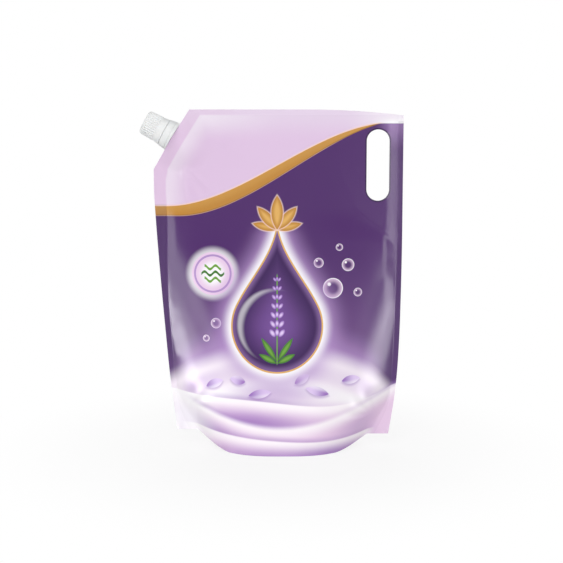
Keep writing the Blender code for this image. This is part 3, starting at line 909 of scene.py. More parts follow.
def ground_print(x, z):
    """Colour fields that run round the whole pouch: lilac, stripe, purple and the pale foot."""
    top_edge = calculate("MINIMUM", stripe_edge(x, STRIPE_TOP_SPAN, STRIPE_TOP), PURPLE_TOP)
    low_edge = calculate("MINIMUM", stripe_edge(x, STRIPE_FOOT_SPAN, STRIPE_FOOT), PURPLE_TOP)
    above = z - top_edge
    lilac = layer(LILAC, LILAC_TOP, smooth(z, 282.0, 311.0))
    lilac = layer(lilac, LILAC_PALE, smooth(x, 55.0, 110.0) * smooth(z, 270.0, 306.0) * 0.75)
    lilac = layer(lilac, WHITE, smooth(above, 7.0, 0.0) * smooth(x, 84.0, 104.0))
    purple = layer(PURPLE, PURPLE_LOW, smooth(z, 190.0, 84.0) * smooth(abs(x), 100.0, 74.0) * 0.85)
    purple = layer(purple, PURPLE_LOW, smooth(x, 40.0, 112.0) * 0.1)
    # Painted highlight: a pale sheen in the top right corner of the purple field
    purple = layer(purple, CREAM_DEEP, smooth(x, 88.0, 104.0) * smooth(z, 272.0, 302.0) * 0.55)
    gold = layer(GOLD, GOLD_LIGHT, smooth(above, -9.0, -1.5) * 0.25)
    gold = layer(gold, GOLD_DARK, smooth(z - low_edge, 1.6, 0.3) * 0.7)
    ground = layer(purple, lilac, inside(top_edge - z))
    on_stripe = both(inside(z - top_edge), inside(low_edge - z)) * smooth(x, 99.0, 86.0)
    ground = layer(ground, gold, on_stripe)
    ground = layer(ground, PINK_LINE, line(above - 0.4, 0.55) * smooth(x, 98.0, 88.0))
    ground = layer(ground, STRIPE_LINE, line(z - low_edge, 0.35) * smooth(x, 70.0, 40.0) * 0.6)
    return foot_print(ground, x, z)


def fold_crest(x, number, base, rise):
    """Height of one silk fold's crest: low in the middle, high at the sides, with a soft wave."""
    sway = calculate("SINE", x / (27.0 + 5.0 * number) + 2.3 * number) * (5.5 - 0.6 * number)
    return (x / 100.0) * (x / 100.0) * rise + sway + base


def silk_fold(ground, x, z, number, base, rise, soft):
    """One silky fold: bright along its crest, lilac in its hollow, with a soft shadow behind it."""
    edge = fold_crest(x, number, base, rise) - z
    hollow = calculate("SINE", x / 33.0 + 1.7 * number + 0.6) * 0.5 + 0.5
    shade = layer(CREAM, CREAM_SHADE, smooth(edge, 1.0, 15.0))
    shade = layer(shade, FOLD_DEEP, smooth(edge, 3.0, 19.0) * hollow * smooth(x, 100.0, 66.0) * 0.85)
    shade = layer(shade, WHITE, smooth(x, -48.0, -84.0) * 0.85)
    ground = layer(ground, FOLD_DEEP, smooth(edge, -6.0, 0.0) * hollow * smooth(x, -90.0, -60.0) * 0.5)
    return layer(ground, shade, smooth(edge, -soft, soft))


def foot_print(ground, x, z):
    """Pale veil that arches over the foot, with soft lilac patches. It runs round the whole pouch."""
    arch = 97.0 - x * x * 0.0033 - smooth(x, 84.0, 116.0) * 9.0
    middle = smooth(abs(x), 106.0, 70.0)
    ground = layer(ground, CREAM_DEEP, smooth(z, arch + 34.0, arch - 2.0) * middle * 0.75)
    ground = layer(ground, VEIL, smooth(z, arch + 10.0, arch - 9.0))
    below = arch - z
    sway = calculate("SINE", x / 15.0 + 0.9) * 0.35 + 0.65
    band = smooth(below, 5.0, 17.0) * smooth(below, 31.0, 19.0) * smooth(abs(x), 95.0, 78.0)
    ground = layer(ground, CREAM_DEEP, band * sway * 0.62)
    gleam = smooth(below, 24.0, 33.0) * smooth(below, 46.0, 35.0)
    ground = layer(ground, WHITE, gleam * 0.7)
    return layer(ground, CREAM_SHADE, smooth(z, 50.0, 26.0) * smooth(x, -70.0, 0.0) * 0.8)


def foot_folds(ground, x, z):
    """Silky folds at the foot, each lower than the one behind it."""
    for number, base, rise, soft in ((1, 44.0, 14.0, 0.6), (2, 30.0, 19.0, 3.0)):
        ground = silk_fold(ground, x, z, number, base, rise, soft)
    lowest = silk_fold(ground, x, z, 4, 13.0, 8.0, 0.8)
    ground = layer(ground, lowest, smooth(abs(x), 93.0, 80.0))
    low = smooth(z, 13.0, 0.0) * (smooth(x, 0.0, 50.0) * 0.45 + 0.3)
    ground = layer(ground, FOLD_DEEP, low)
    ground = layer(ground, WHITE, smooth(x, -90.0, -97.0) * smooth(z, 34.0, 24.0) * 0.8)
    return layer(ground, CREAM_SHADE, smooth(x, 90.0, 97.0) * smooth(z, 34.0, 24.0) * 0.9)


# Front design: a large drop with a gold finial, a sprig in it, loose petals, bubbles and a wave disc
DROP_RADIUS = 42.0
DROP_CENTRE = (-1.0, 116.0)
DROP_TIP = 96.0
DROP_HOLLOW = 5.0
DROP_EDGE = srgb(62, 34, 88)
DROP_MIDDLE = srgb(116, 76, 150)
DROP_RIM = srgb(152, 114, 180)

# The gloss on the drop lies between two circles: centre and radius of each
GLOSS_OUTER = ((-5.0, 117.0), 33.0)
GLOSS_INNER = ((3.0, 114.0), 34.0)


def drop_distance(x, z):
    """Distance from the edge of the drop: a circle with two hollow flanks up to its tip."""
    lean = math.asin(DROP_RADIUS / DROP_TIP)
    flank = math.sqrt(DROP_TIP**2 - DROP_RADIUS**2)
    u = abs(x - DROP_CENTRE[0])
    v = z - DROP_CENTRE[1]
    up_flank = v * math.cos(lean) - u * math.sin(lean)
    off_flank = u * math.cos(lean) + v * math.sin(lean) - DROP_RADIUS
    place = calculate("MINIMUM", calculate("MAXIMUM", up_flank / flank, 0.0), 1.0)
    off_flank = off_flank + place * place * (1.0 - place) * (27 / 4 * DROP_HOLLOW)
    off_circle = length(u, v) - DROP_RADIUS
    above = calculate("GREATER_THAN", up_flank, 0.0)
    return off_circle + (off_flank - off_circle) * above


def petal_distance(x, z, centre, angle, size, width):
    """Distance from a pointed petal that starts at a centre and leans by an angle."""
    u, v = turned_place(x, z, centre, angle)
    half = size / 2
    offset = (half**2 - width**2) / (2 * width)
    return length(abs(u) + offset, v - half) - (offset + width)


def finial(ground, x, z):
    """Gold petals over the tip of the drop."""
    u = abs(x - DROP_CENTRE[0])
    foot = (0.0, DROP_CENTRE[1] + DROP_TIP - 9.0)
    petals = (
        petal_distance(u, z, foot, -76.0, 23.0, 3.5),
        petal_distance(u, z, foot, -41.0, 27.0, 4.5),
        petal_distance(u, z, foot, 0.0, 31.0, 5.3),
    )
    for petal in petals:
        ground = layer(ground, PINK_LINE, inside(petal - 0.8, 0.7) * 0.75)
        leaf_gold = layer(GOLD, GOLD_LIGHT, smooth(petal, -0.6, -4.2))
        ground = layer(ground, leaf_gold, inside(petal))
    return ground


def drop_body(ground, x, z, edge):
    """Purple drop with a gold outline, a lit rim and a soft gloss."""
    haze = smooth(edge, 34.0, 0.0) * smooth(z, 226.0, 196.0)
    ground = layer(ground, CREAM_DEEP, haze * haze * 0.8)
    glow = smooth(edge, 13.0, 0.0)
    ground = layer(ground, WHITE, glow * glow * 0.9)
    body = layer(DROP_EDGE, DROP_MIDDLE, smooth(edge, -3.0, -38.0))
    body = layer(body, DROP_RIM, smooth(edge, -8.0, -1.0) * 0.6)
    outer = circle_distance(x, z, *GLOSS_OUTER)
    inner = circle_distance(x, z, *GLOSS_INNER)
    gloss = both(smooth(outer, 0.8, -2.5), smooth(inner, -1.0, 4.0))
    body = layer(body, WHITE, gloss * 0.45)
    ground = layer(ground, body, inside(edge))
    return layer(ground, GOLD_LIGHT, line(edge + 0.7, 0.7))


# Sprig: height of its foot, pitch of its rows of buds and their number
SPRIG_FOOT = 90.0
SPRIG_PITCH = 8.0
SPRIG_ROWS = 9
FLOWER = srgb(150, 104, 190)
FLOWER_LIGHT = srgb(226, 204, 242)


def sprig(ground, x, z):
    """Upright sprig: paired buds that grow smaller upwards, on a thin stem with four leaves."""
    u = abs(x - DROP_CENTRE[0])
    v = z - SPRIG_FOOT
    step = calculate("FLOOR", v / SPRIG_PITCH)
    local = v - (step + 0.5) * SPRIG_PITCH
    size = 1.12 - step * 0.08
    bud_u, bud_v = turned_place(u - size * 4.4, local, (0.0, 0.0), -38.0)
    pair = length(bud_u / 2.2, bud_v / 4.1) - size
    middle = length(u / 1.9, (local - 0.6) / 3.3) - size
    top = SPRIG_ROWS * SPRIG_PITCH
    rows = both(smooth(v, 1.95 * SPRIG_PITCH, 2.05 * SPRIG_PITCH), smooth(v, top + 0.1, top - 0.1))
    stem = both(inside(u - 0.55), both(smooth(v, -9.0, -6.0), smooth(v, top + 2.0, top - 2.0)))
    ground = layer(ground, LEAF, stem)
    for lean, foot, size_mm in ((-34.0, SPRIG_FOOT - 5.0, 25.0), (-63.0, SPRIG_FOOT - 7.0, 18.0)):
        leaf = petal_distance(u, z, (0.4, foot), lean, size_mm, 2.6)
        green = layer(LEAF_DARK, LEAF, smooth(leaf, 0.0, -2.2))
        ground = layer(ground, green, inside(leaf))
    for bud in (pair, middle):
        shade = layer(FLOWER, FLOWER_LIGHT, smooth(bud, 0.05, -0.75))
        ground = layer(ground, shade, both(smooth(bud, 0.06, -0.02), rows))
    return ground


# Loose petals: place of the foot, lean in degrees and length
PETALS = (
    (-66.0, 60.0, -66.0, 17.0),
    (-30.0, 66.0, 78.0, 14.0),
    (-27.0, 54.0, -80.0, 21.0),
    (15.0, 65.0, -60.0, 15.0),
    (46.0, 55.0, 74.0, 22.0),
    (58.0, 66.0, -84.0, 17.0),
)
PETAL_WIDTH = 3.9
PETAL_SHADOW_DROP = 1.6
SHADE_CENTRE = (-1.0, 56.0)
SHADE_REACH = (62.0, 15.0)


def strewn_petals(ground, x, z):
    """Soft shade under the drop, and loose lilac petals that lie on the veil round it."""
    out = length((x - SHADE_CENTRE[0]) / SHADE_REACH[0], (z - SHADE_CENTRE[1]) / SHADE_REACH[1])
    ground = layer(ground, CREAM_DEEP, smooth(out, 1.0, 0.1) * 0.55)
    for foot_x, foot_z, lean, size in PETALS:
        shadow = petal_distance(x, z, (foot_x, foot_z - PETAL_SHADOW_DROP), lean, size, PETAL_WIDTH)
        ground = layer(ground, FOLD_DEEP, smooth(shadow, 1.8, -1.4) * 0.5)
        aside, along = turned_place(x, z, (foot_x, foot_z), lean)
        shade = layer(FLOWER_LIGHT, FLOWER, smooth(along, size * 0.8, 0.0))
        shade = layer(shade, WHITE, smooth(aside, -0.4, 3.0) * 0.5)
        petal = petal_distance(x, z, (foot_x, foot_z), lean, size, PETAL_WIDTH)
        ground = layer(ground, shade, inside(petal))
    return ground


# Bubbles: place and radius
BUBBLES = (
    (50.0, 150.0, 9.0),
    (64.0, 171.0, 5.6),
    (37.0, 173.0, 4.4),
    (73.0, 146.0, 3.8),
    (56.0, 187.0, 3.2),
    (-57.0, 118.0, 4.6),
    (-66.0, 104.0, 3.0),
)


def bubbles(ground, x, z):
    """Clear bubbles: a lit rim, a veil and one bright glint."""
    for centre_x, centre_z, radius in BUBBLES:
        out = length(x - centre_x, z - centre_z) / radius
        ground = layer(ground, CREAM_SHADE, both(smooth(out, 1.0, 0.96), smooth(out, 0.35, 1.0)) * 0.75)
        ground = layer(ground, WHITE, both(smooth(out, 1.04, 1.0), smooth(out, 0.9, 0.97)) * 0.9)
        glint = length(x - centre_x + radius * 0.38, z - centre_z - radius * 0.4) / radius
        ground = layer(ground, WHITE, smooth(glint, 0.24, 0.12))
    return ground


# Wave disc: its size, and the waves' pace and sway
DISC_CENTRE = (-60.0, 163.0)
DISC_RADIUS = 19.5
WAVE_PACE = 0.62
WAVE_SWAY = 1.7


def wave_disc(ground, x, z):
    """Pale disc with a lilac ring and three green waves, the middle one longer and darker."""
    u = x - DISC_CENTRE[0]
    v = z - DISC_CENTRE[1]
    out = length(u, v)
    ground = layer(ground, WHITE, smooth(out, DISC_RADIUS + 7.0, DISC_RADIUS) * 0.7)
    ground = layer(ground, layer(WHITE, CREAM_SHADE, smooth(out, 6.0, 15.0)), inside(out - DISC_RADIUS))
    ground = layer(ground, CREAM_DEEP, line(out - DISC_RADIUS + 3.0, 0.9))
    sway = calculate("SINE", u * WAVE_PACE) * WAVE_SWAY
    for height, half_length, green in ((5.6, 7.6, LEAF), (0.0, 10.6, LEAF_DARK), (-5.6, 7.6, LEAF)):
        wave = both(line(v - height - sway, 1.2), inside(abs(u) - half_length, 0.5))
        ground = layer(ground, green, wave)
    return ground


def information_panel(ground, x, z):
    """Plain pale field on the back, where such packs carry their small print."""
    u = abs(x + 2.0) - 58.0
    v = abs(z - 150.0) - 44.0
    corner = length(calculate("MAXIMUM", u, 0.0), calculate("MAXIMUM", v, 0.0)) - 7.0
    ground = layer(ground, GOLD, line(corner - 1.6, 0.5))
    return layer(ground, LILAC_PALE, inside(corner))


def slot_edge(x, z):
    """Distance from the edge of the handle slot, in millimetres."""
    radius = SLOT_WIDTH / 2 / MM
    reach = (SLOT_HEIGHT / 2 / MM) - radius
    beyond = calculate("MAXIMUM", abs(z - SLOT_Z / MM) - reach, 0.0)
    return length(x - SLOT_X / MM, beyond) - radius


# Colours of painted shade on the welds and round the slot's cut rim, and the pitch of the welds' crimp
PAINTED_WELD_SHADE = srgb(226, 197, 225)
PAINTED_SHADE_PURPLE = srgb(52, 30, 72)
CRIMP_PITCH = 1.1


def film_finish(tree, shader, colour, x, z):
    """Laminate film over the print: pressed welds with painted shade, a painted highlight inside them,
    painted shade at the slot's rim, fine orange peel and uneven gloss.
    """
    weld = named_field(tree, "weld")
    in_weld = smooth(weld, -0.6, 0.9)
    over_stripe = smooth(z - stripe_edge(x, STRIPE_TOP_SPAN, STRIPE_TOP), 0.6, 2.2)
    over_white = both(smooth(z, 70.0, 116.0), 1.0 - over_stripe)
    # Painted shade: on the left, the welds over the lilac field stay darker than the film just inside
    # them
    colour = layer(colour, PAINTED_WELD_SHADE, in_weld * over_stripe * smooth(x, -20.0, -70.0) * 0.4)
    # Painted highlight along the film just inside the welds, over the lilac field
    painted_weld_highlight = both(smooth(weld, -24.0, -1.0), 1.0 - in_weld)
    colour = layer(colour, WHITE, painted_weld_highlight * over_stripe * smooth(x, 10.0, -80.0) * 0.42)
    # Painted shade: the welds over the purple field are darkened
    colour = layer(colour, PAINTED_SHADE_PURPLE, in_weld * over_white * 0.2)
    # Painted shade: a dark line round the cut rim of the slot
    colour = layer(colour, PAINTED_SHADE_PURPLE, smooth(slot_edge(x, z), 1.8, 0.8) * 0.85)
    feed(colour, shader.inputs["Base Color"])
    gloss = noise(tree, 26.0, 3.0, 0.6)
    feed(0.2 + gloss * 0.07 + in_weld * 0.08, shader.inputs["Roughness"])
    shader.inputs["Specular IOR Level"].default_value = 0.5
    shader.inputs["Coat Weight"].default_value = 0.25
    shader.inputs["Coat Roughness"].default_value = 0.16
    peel = noise(tree, 520.0, 2.0, 0.5)
    crimp = calculate("SINE", z * (2 * math.pi / CRIMP_PITCH)) * in_weld
    bump(tree, shader, peel + crimp * 0.35, 0.03 * MM, 0.6)


def front_film():
    """Printed front of the pouch."""
    made, tree, shader = new_material("film_front")
    x, z = panel_place(tree)
    edge = drop_distance(x, z)
    colour = strewn_petals(ground_print(x, z), x, z)
    colour = wave_disc(colour, x, z)
    colour = bubbles(colour, x, z)
    colour = drop_body(colour, x, z, edge)
    colour = sprig(colour, x, z)
    colour = finial(colour, x, z)
    colour = foot_folds(colour, x, z)
    film_finish(tree, shader, colour, x, z)
    return made


def back_film():
    """Printed back of the pouch."""
    made, tree, shader = new_material("film_back")
    x, z = panel_place(tree)
    colour = information_panel(foot_folds(ground_print(x, z), x, z), x, z)
    film_finish(tree, shader, colour, x, z)
    return made


def gusset_film():
    """Pale lilac film under the pouch, faintly mottled."""
    made, tree, shader = new_material("film_gusset")
    x, z = panel_place(tree)
    mottle = noise(tree, 30.0, 2.0)
    colour = layer(CREAM_SHADE, CREAM, smooth(mottle, 0.35, 0.65))
    film_finish(tree, shader, colour, x, z)
    return made


# Spout, band, cap and disc, in the spout's own directions: local Z points out of the mouth


def spout_frame():
    """Place and directions of the spout's axis."""
    across = Vector((0.0, 1.0, 0.0)).cross(SPOUT_AXIS).normalized()
    turn = Matrix((across, Vector((0.0, 1.0, 0.0)), SPOUT_AXIS)).transposed().to_4x4()
    return Matrix.Translation(SPOUT_BASE) @ turn


def even_line(corners, spacing):
    """Points along straight stretches, no further apart than the spacing."""
    points = [corners[0]]
    for (r0, h0), (r1, h1) in zip(corners, corners[1:]):
        steps = max(1, math.ceil(math.hypot(r1 - r0, h1 - h0) / spacing))
        for step in range(1, steps + 1):
            part = step / steps
            points.append((r0 + (r1 - r0) * part, h0 + (h1 - h0) * part))
    return points


def arc(centre, radius, start, end, steps):
    """Points on an arc in the profile's plane, with angles in degrees from outward to upward."""
    points = []
    for step in range(steps + 1):
        turn = math.radians(start + (end - start) * step / steps)
        points.append((centre[0] + radius * math.cos(turn), centre[1] + radius * math.sin(turn)))
    return points


def turned_piece(name, profile, segments, relief=None):
    """A turned piece from a closed profile of (radius, height), with relief(radius, height, turn)."""
    profile = np.array(profile)
    turn = np.linspace(0.0, 2 * math.pi, segments, endpoint=False)
    radius = np.repeat(profile[:, :1], segments, axis=1)
    height = np.repeat(profile[:, 1:], segments, axis=1)
    angle = np.repeat(turn[None], len(profile), axis=0)
    if relief:
        radius = radius + relief(radius, height, angle)
    points = np.dstack([radius * np.cos(angle), radius * np.sin(angle), height]).reshape(-1, 3)
    ids = numbered(radius.shape, 0)
    ids = np.column_stack([ids, ids[:, 0]])
    ids = np.vstack([ids, ids[0]])
    made = mesh_object(name, points, quads(ids))
    clean_mesh(made)
    made.data.transform(spout_frame())
    return made


def finish_piece(made, body, material, node=None, sharp=38):
    """Smooth shading, white plastic and the body that the piece rides on."""
    made.data.materials.clear()
    made.data.materials.append(white_plastic(material))
    made.data.shade_smooth()
    made.data.set_sharp_from_angle(angle=math.radians(sharp))
    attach(made, body)
    if node:
        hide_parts(node)
    return made


def helix_ridge(height, turn, low, high):
    """Height of a screw thread's ridge, from 0 to 1, between two ends."""
    pitch = THREAD_LEAD / THREAD_STARTS
    along = (height - THREAD_LEAD * turn / (2 * math.pi)) / pitch
    ridge = eased((np.cos(2 * math.pi * along) - 0.1) / 0.7)
    ends = eased((height - low) / THREAD_FADE) * eased((high - height) / THREAD_FADE)
    return ridge * ends


def cap_relief(radius, height, turn):
    """Grip ribs outside and the screw thread inside."""
    grip_foot = CAP_FOOT + CAP_SKIRT_HEIGHT
    fade_in = eased((height - grip_foot + RIB_RUN_DOWN) / RIB_FADE_IN)
    fade_out = eased((CAP_END - RIB_END_MARGIN - height) / RIB_FADE_OUT)
    grip = fade_in * fade_out
    rib = abs(np.cos(RIB_COUNT * turn / 2)) ** RIB_POWER
    outer = radius > CAP_SKIRT_BORE_RADIUS + 0.1 * MM
    ribs = (RIB_PROUD * rib - RIB_GROOVE * (1 - rib)) * grip * outer
    shift = turn + math.pi / THREAD_STARTS
    thread = helix_ridge(height, shift, CAP_FOOT + CAP_THREAD_FOOT, CAP_CEILING - CAP_THREAD_END)
    inner = (radius < CAP_BORE_RADIUS + 0.05 * MM) & (radius > CAP_BORE_RADIUS - 0.05 * MM)
    return ribs - CAP_THREAD_PROUD * thread * inner


def make_cap():
    """Screw cap: flared skirt, ribbed grip, rounded end, threaded bore."""
    grip_foot = CAP_FOOT + CAP_SKIRT_HEIGHT
    round_radius = CAP_END_RADIUS - CAP_END_ROUND
    round_foot = CAP_END - CAP_END_ROUND
    skirt_foot = (CAP_SKIRT_RADIUS, CAP_FOOT + CAP_EDGE_BREAK)
    skirt_top = (CAP_GRIP_FOOT_RADIUS + CAP_SHOULDER_WIDTH, grip_foot - CAP_SHOULDER_HEIGHT)
    skirt = even_line([skirt_foot, skirt_top], SKIRT_SPACING)
    grip = even_line([(CAP_GRIP_FOOT_RADIUS, grip_foot), (CAP_END_RADIUS, round_foot)], GRIP_SPACING)
    end_round = arc((round_radius, round_foot), CAP_END_ROUND, 0, 90, 9)
    end_face = even_line([(round_radius, CAP_END), (0.0, CAP_END - CAP_END_DISH)], END_SPACING)
    bore_foot = (CAP_BORE_RADIUS, CAP_FOOT + CAP_BORE_FOOT)
    bore = even_line([(CAP_BORE_RADIUS, CAP_CEILING), bore_foot], BORE_SPACING)
    profile = [
        (CAP_SKIRT_BORE_RADIUS, CAP_FOOT),
        (CAP_SKIRT_RADIUS - CAP_EDGE_BREAK, CAP_FOOT),
        *skirt,
        *grip,
        *end_round[1:],
        *end_face[1:],
        (0.0, CAP_CEILING),
        *bore,
        (CAP_SKIRT_BORE_RADIUS, CAP_FOOT + CAP_SKIRT_BORE_TOP),
    ]
    cap = turned_piece("cap_shell", profile, RIB_COUNT * RIB_STEPS, cap_relief)
    return finish_piece(cap, "cap_body", "cap_white", "cap", 55)


def make_band():
    """Tamper band: rounded shoulder and a slight flare to its foot."""
    top = BAND_FOOT + BAND_HEIGHT + BAND_RAISE
    outer_foot = (BAND_FOOT_RADIUS, BAND_FOOT + BAND_EDGE_BREAK)
    outer = even_line([outer_foot, (BAND_TOP_RADIUS, top - BAND_ROUND)], BAND_SPACING)
    shoulder = arc((BAND_TOP_RADIUS - BAND_ROUND, top - BAND_ROUND), BAND_ROUND, 0, 90, 8)
    foot = BAND_FOOT - BAND_FOOT_DROP
    profile = [
        (BAND_FOOT_RADIUS - BAND_FOOT_DROP, foot),
        *outer,
        *shoulder[1:],
        (BAND_TOP_RADIUS - BAND_WALL, top),
        (BAND_FOOT_RADIUS - BAND_WALL, foot),
    ]
    band = turned_piece("band_ring", profile, ROUND_STEPS)
    return finish_piece(band, "pouch_body", "band_white", "tamper_band", 50)


def make_bridges():
    """Thin bridges between the band and the cap, which tear on first opening."""
    mesh = bmesh.new()
    top = BAND_FOOT + BAND_HEIGHT
    height = TEAR_GAP - BRIDGE_GAP + BRIDGE_ROOT
    middle = top - BRIDGE_ROOT + height / 2
    for number in range(BRIDGE_COUNT):
        turn = Matrix.Rotation(2 * math.pi * (number + 0.5) / BRIDGE_COUNT, 4, "Z")
        place = Matrix.Translation((BAND_TOP_RADIUS - BRIDGE_INSET, 0.0, middle))
        size = Matrix.Diagonal((BRIDGE_DEPTH, BRIDGE_WIDTH, height, 1.0))
        bmesh.ops.create_cube(mesh, size=1.0, matrix=turn @ place @ size)
    mesh.transform(spout_frame())
    bridges = built_object("band_bridges", mesh)
    return finish_piece(bridges, "pouch_body", "bridge_white")


def make_neck_thread():
    """Two-start screw thread on the neck."""
    low = CAP_FOOT + NECK_THREAD_FOOT
    high = NECK_HEIGHT - NECK_THREAD_END
    turns = (high - low) / THREAD_LEAD
    steps = round(turns * NECK_THREAD_STEPS)
    points = []
    faces = []
    for start in range(THREAD_STARTS):
        first = len(points)
        for step in range(steps + 1):
            rise = (high - low) * step / steps
            turn = 2 * math.pi * (rise / THREAD_LEAD + start / THREAD_STARTS + low / THREAD_LEAD)
            ends = float(eased(min(step, steps - step) / NECK_THREAD_FADE_STEPS))
            for out, up in NECK_THREAD_SECTION:
                stand = out * ends - NECK_THREAD_SINK * (1 - ends)
                radius = NECK_RADIUS + stand * NECK_THREAD_PROUD / NECK_THREAD_CREST
                points.append((radius * math.cos(turn), radius * math.sin(turn), low + rise + up * MM))
        ids = numbered((steps + 1, len(NECK_THREAD_SECTION)), first)
        ring = np.column_stack([ids, ids[:, 0]])
        faces.extend(quads(ring[:, ::-1]).tolist())
        faces.append(ids[0].tolist())
        faces.append(ids[-1][::-1].tolist())
    thread = mesh_object("neck_thread", points, faces)
    thread.data.transform(spout_frame())
    return finish_piece(thread, "pouch_body", "thread_white")


def white_plastic(name):
    """Moulded white plastic: faintly translucent, satin, with a fine moulded grain."""
    made, tree, shader = new_material(name)
    cloud = noise(tree, 60.0, 2.0)
    tint = layer(PLASTIC_WHITE, PLASTIC_SHADE, smooth(cloud, 0.35, 0.75) * 0.35)
    feed(tint, shader.inputs["Base Color"])
    grain = noise(tree, 2600.0, 2.0)
    feed(0.4 + noise(tree, 160.0, 3.0) * 0.14, shader.inputs["Roughness"])
    shader.inputs["Specular IOR Level"].default_value = 0.35
    shader.inputs["Subsurface Weight"].default_value = 0.12
    shader.inputs["Subsurface Radius"].default_value = (1.0, 0.9, 0.8)
    shader.inputs["Subsurface Scale"].default_value = 1.2 * MM
    bump(tree, shader, grain, 0.012 * MM, 0.5)
    return made


def foam(name):
    """Closed-cell foam with fine cells on its face."""
    made, tree, shader = new_material(name)
    cells = tree.nodes.new("ShaderNodeTexVoronoi")
    cells.inputs["Scale"].default_value = 2200.0
    tree.links.new(object_place(tree), cells.inputs["Vector"])
    depth = Term(tree, cells.outputs["Distance"])
    colour = layer(FOAM_LIGHT, FOAM_DARK, smooth(depth, 0.25, 0.7))
    feed(colour, shader.inputs["Base Color"])
    shader.inputs["Roughness"].default_value = 0.72
    bump(tree, shader, depth, 0.06 * MM, 0.6)
    return made


def tip_tool(end):
    """Block over one tip of the weld base, where the film would cover it."""
    along = Vector((CUT_ALONG[0], 0.0, CUT_ALONG[1]))
    outward = Vector((-CUT_INWARD[0], 0.0, -CUT_INWARD[1]))
    turn = Matrix((along, Vector((0.0, 1.0, 0.0)), outward)).transposed().to_4x4()
    start = FLANGE_RADIUS + TIP_CLEARANCE
    middle = Vector((end * (start + TIP_TOOL_END) / 2, 0.0, TIP_TOOL_MIDDLE))
    size = (TIP_TOOL_END - start, 3 * WELD_BASE_HALF_THICKNESS, TIP_TOOL_HEIGHT)
    mesh = bmesh.new()
    bmesh.ops.create_cube(mesh, size=1.0, matrix=Matrix.Diagonal((*size, 1.0)))
    mesh.transform(Matrix.Translation(SPOUT_BASE) @ turn @ Matrix.Translation(middle))
    return built_object("tip_tool", mesh)


def seat_flange(neck):
    """Slants the underside of the flange, so that it follows the cut edge of the film."""
    turn = spout_frame()
    back = turn.inverted()
    along = back.to_3x3() @ Vector((CUT_ALONG[0], 0.0, CUT_ALONG[1]))
    for vertex in neck.data.vertices:
        place = back @ vertex.co
        if place.z < FLANGE_LIFT:
            place.z = FLANGE_FILM_GAP + place.x * along.z / along.x
            vertex.co = turn @ place


def make_neck():
    """Neck of the fitment with its flange, and the bead that holds the band."""
    flange_top = FLANGE_LIFT + FLANGE_THICKNESS
    bead_foot = flange_top + BEAD_GAP
    bead_top = bead_foot + BEAD_HEIGHT
    rim = arc((FLANGE_RADIUS - FLANGE_ROUND, flange_top - FLANGE_ROUND), FLANGE_ROUND, 0, 90, 5)
    lip = arc((NECK_RADIUS - NECK_EDGE_BREAK, NECK_HEIGHT - NECK_EDGE_BREAK), NECK_EDGE_BREAK, 0, 90, 5)
    profile = [
        (NECK_BORE_RADIUS, FLANGE_LIFT - SEAT_GAP),
        (FLANGE_RADIUS, FLANGE_LIFT - SEAT_GAP),
        *rim,
        (NECK_RADIUS, flange_top),
        (NECK_RADIUS, bead_foot),
        (BEAD_RADIUS, bead_foot),
        (BEAD_RADIUS, bead_top),
        (NECK_RADIUS, bead_top + BEAD_RADIUS - NECK_RADIUS),
        *lip,
        (NECK_BORE_RADIUS, NECK_HEIGHT),
    ]
    neck = turned_piece("spout_neck", profile, ROUND_STEPS)
    seat_flange(neck)
    return finish_piece(neck, "pouch_body", "neck_white", "spout", 35)


def make_weld_base():
    """Boat-shaped base between the two panels, flush with the film's edge beside the flange."""
    base = built_object("spout_base", boat_mesh(-WELD_BASE_DEPTH, FLANGE_LIFT, 0.0))
    for end in (-1, 1):
        cut_away(base, tip_tool(end))
    bore = bmesh.new()
    bmesh.ops.create_cone(
        bore,
        cap_ends=True,
        segments=96,
        radius1=NECK_BORE_RADIUS,
        radius2=NECK_BORE_RADIUS,
        depth=4 * WELD_BASE_DEPTH,
        matrix=spout_frame(),
    )
    cut_away(base, built_object("bore_tool", bore))
    return finish_piece(base, "pouch_body", "base_white", None, 35)


def dress_disc():
    """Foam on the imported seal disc."""
    data = frame["nodes"]["seal_disc"].data
    data.materials.clear()
    data.materials.append(foam("disc_foam"))


# Studio. The room's light is weaker in reflections, so that the purple film stays deep.
ROOM_LIGHT = 0.42
ROOM_IN_GLOSS = 0.14
FLOOR_SIZE = 6.0
FLOOR_DROP = 0.05 * MM
FLOOR_GREY = 0.8
FLOOR_PLAIN_NEAR = 0.84

# Lights of the side streaks: turn in degrees, reach, height, size and radiance of each
LEFT_STREAK = (
    (37, 0.5, 0.155, (0.13, 0.09), 3.7),
    (52, 0.5, 0.085, (0.14, 0.1), 3.7),
    (67, 0.36, 0.05, (0.15, 0.1), 9.6),
)
RIGHT_STREAK = (
    (43, 0.5, 0.235, (0.17, 0.15), 3.0),
    (55, 0.5, 0.11, (0.14, 0.12), 5.0),
    (64, 0.36, 0.05, (0.15, 0.1), 5.3),
)


def ray_kind(tree, name):
    """1 for rays of one kind."""
    return Term(tree, tree.nodes.new("ShaderNodeLightPath").outputs[name])


def seen_directly(tree):
    """1 for rays that should see plain white ground: the camera's, and those through clear things."""
    return either(ray_kind(tree, "Is Camera Ray"), ray_kind(tree, "Is Transmission Ray"))


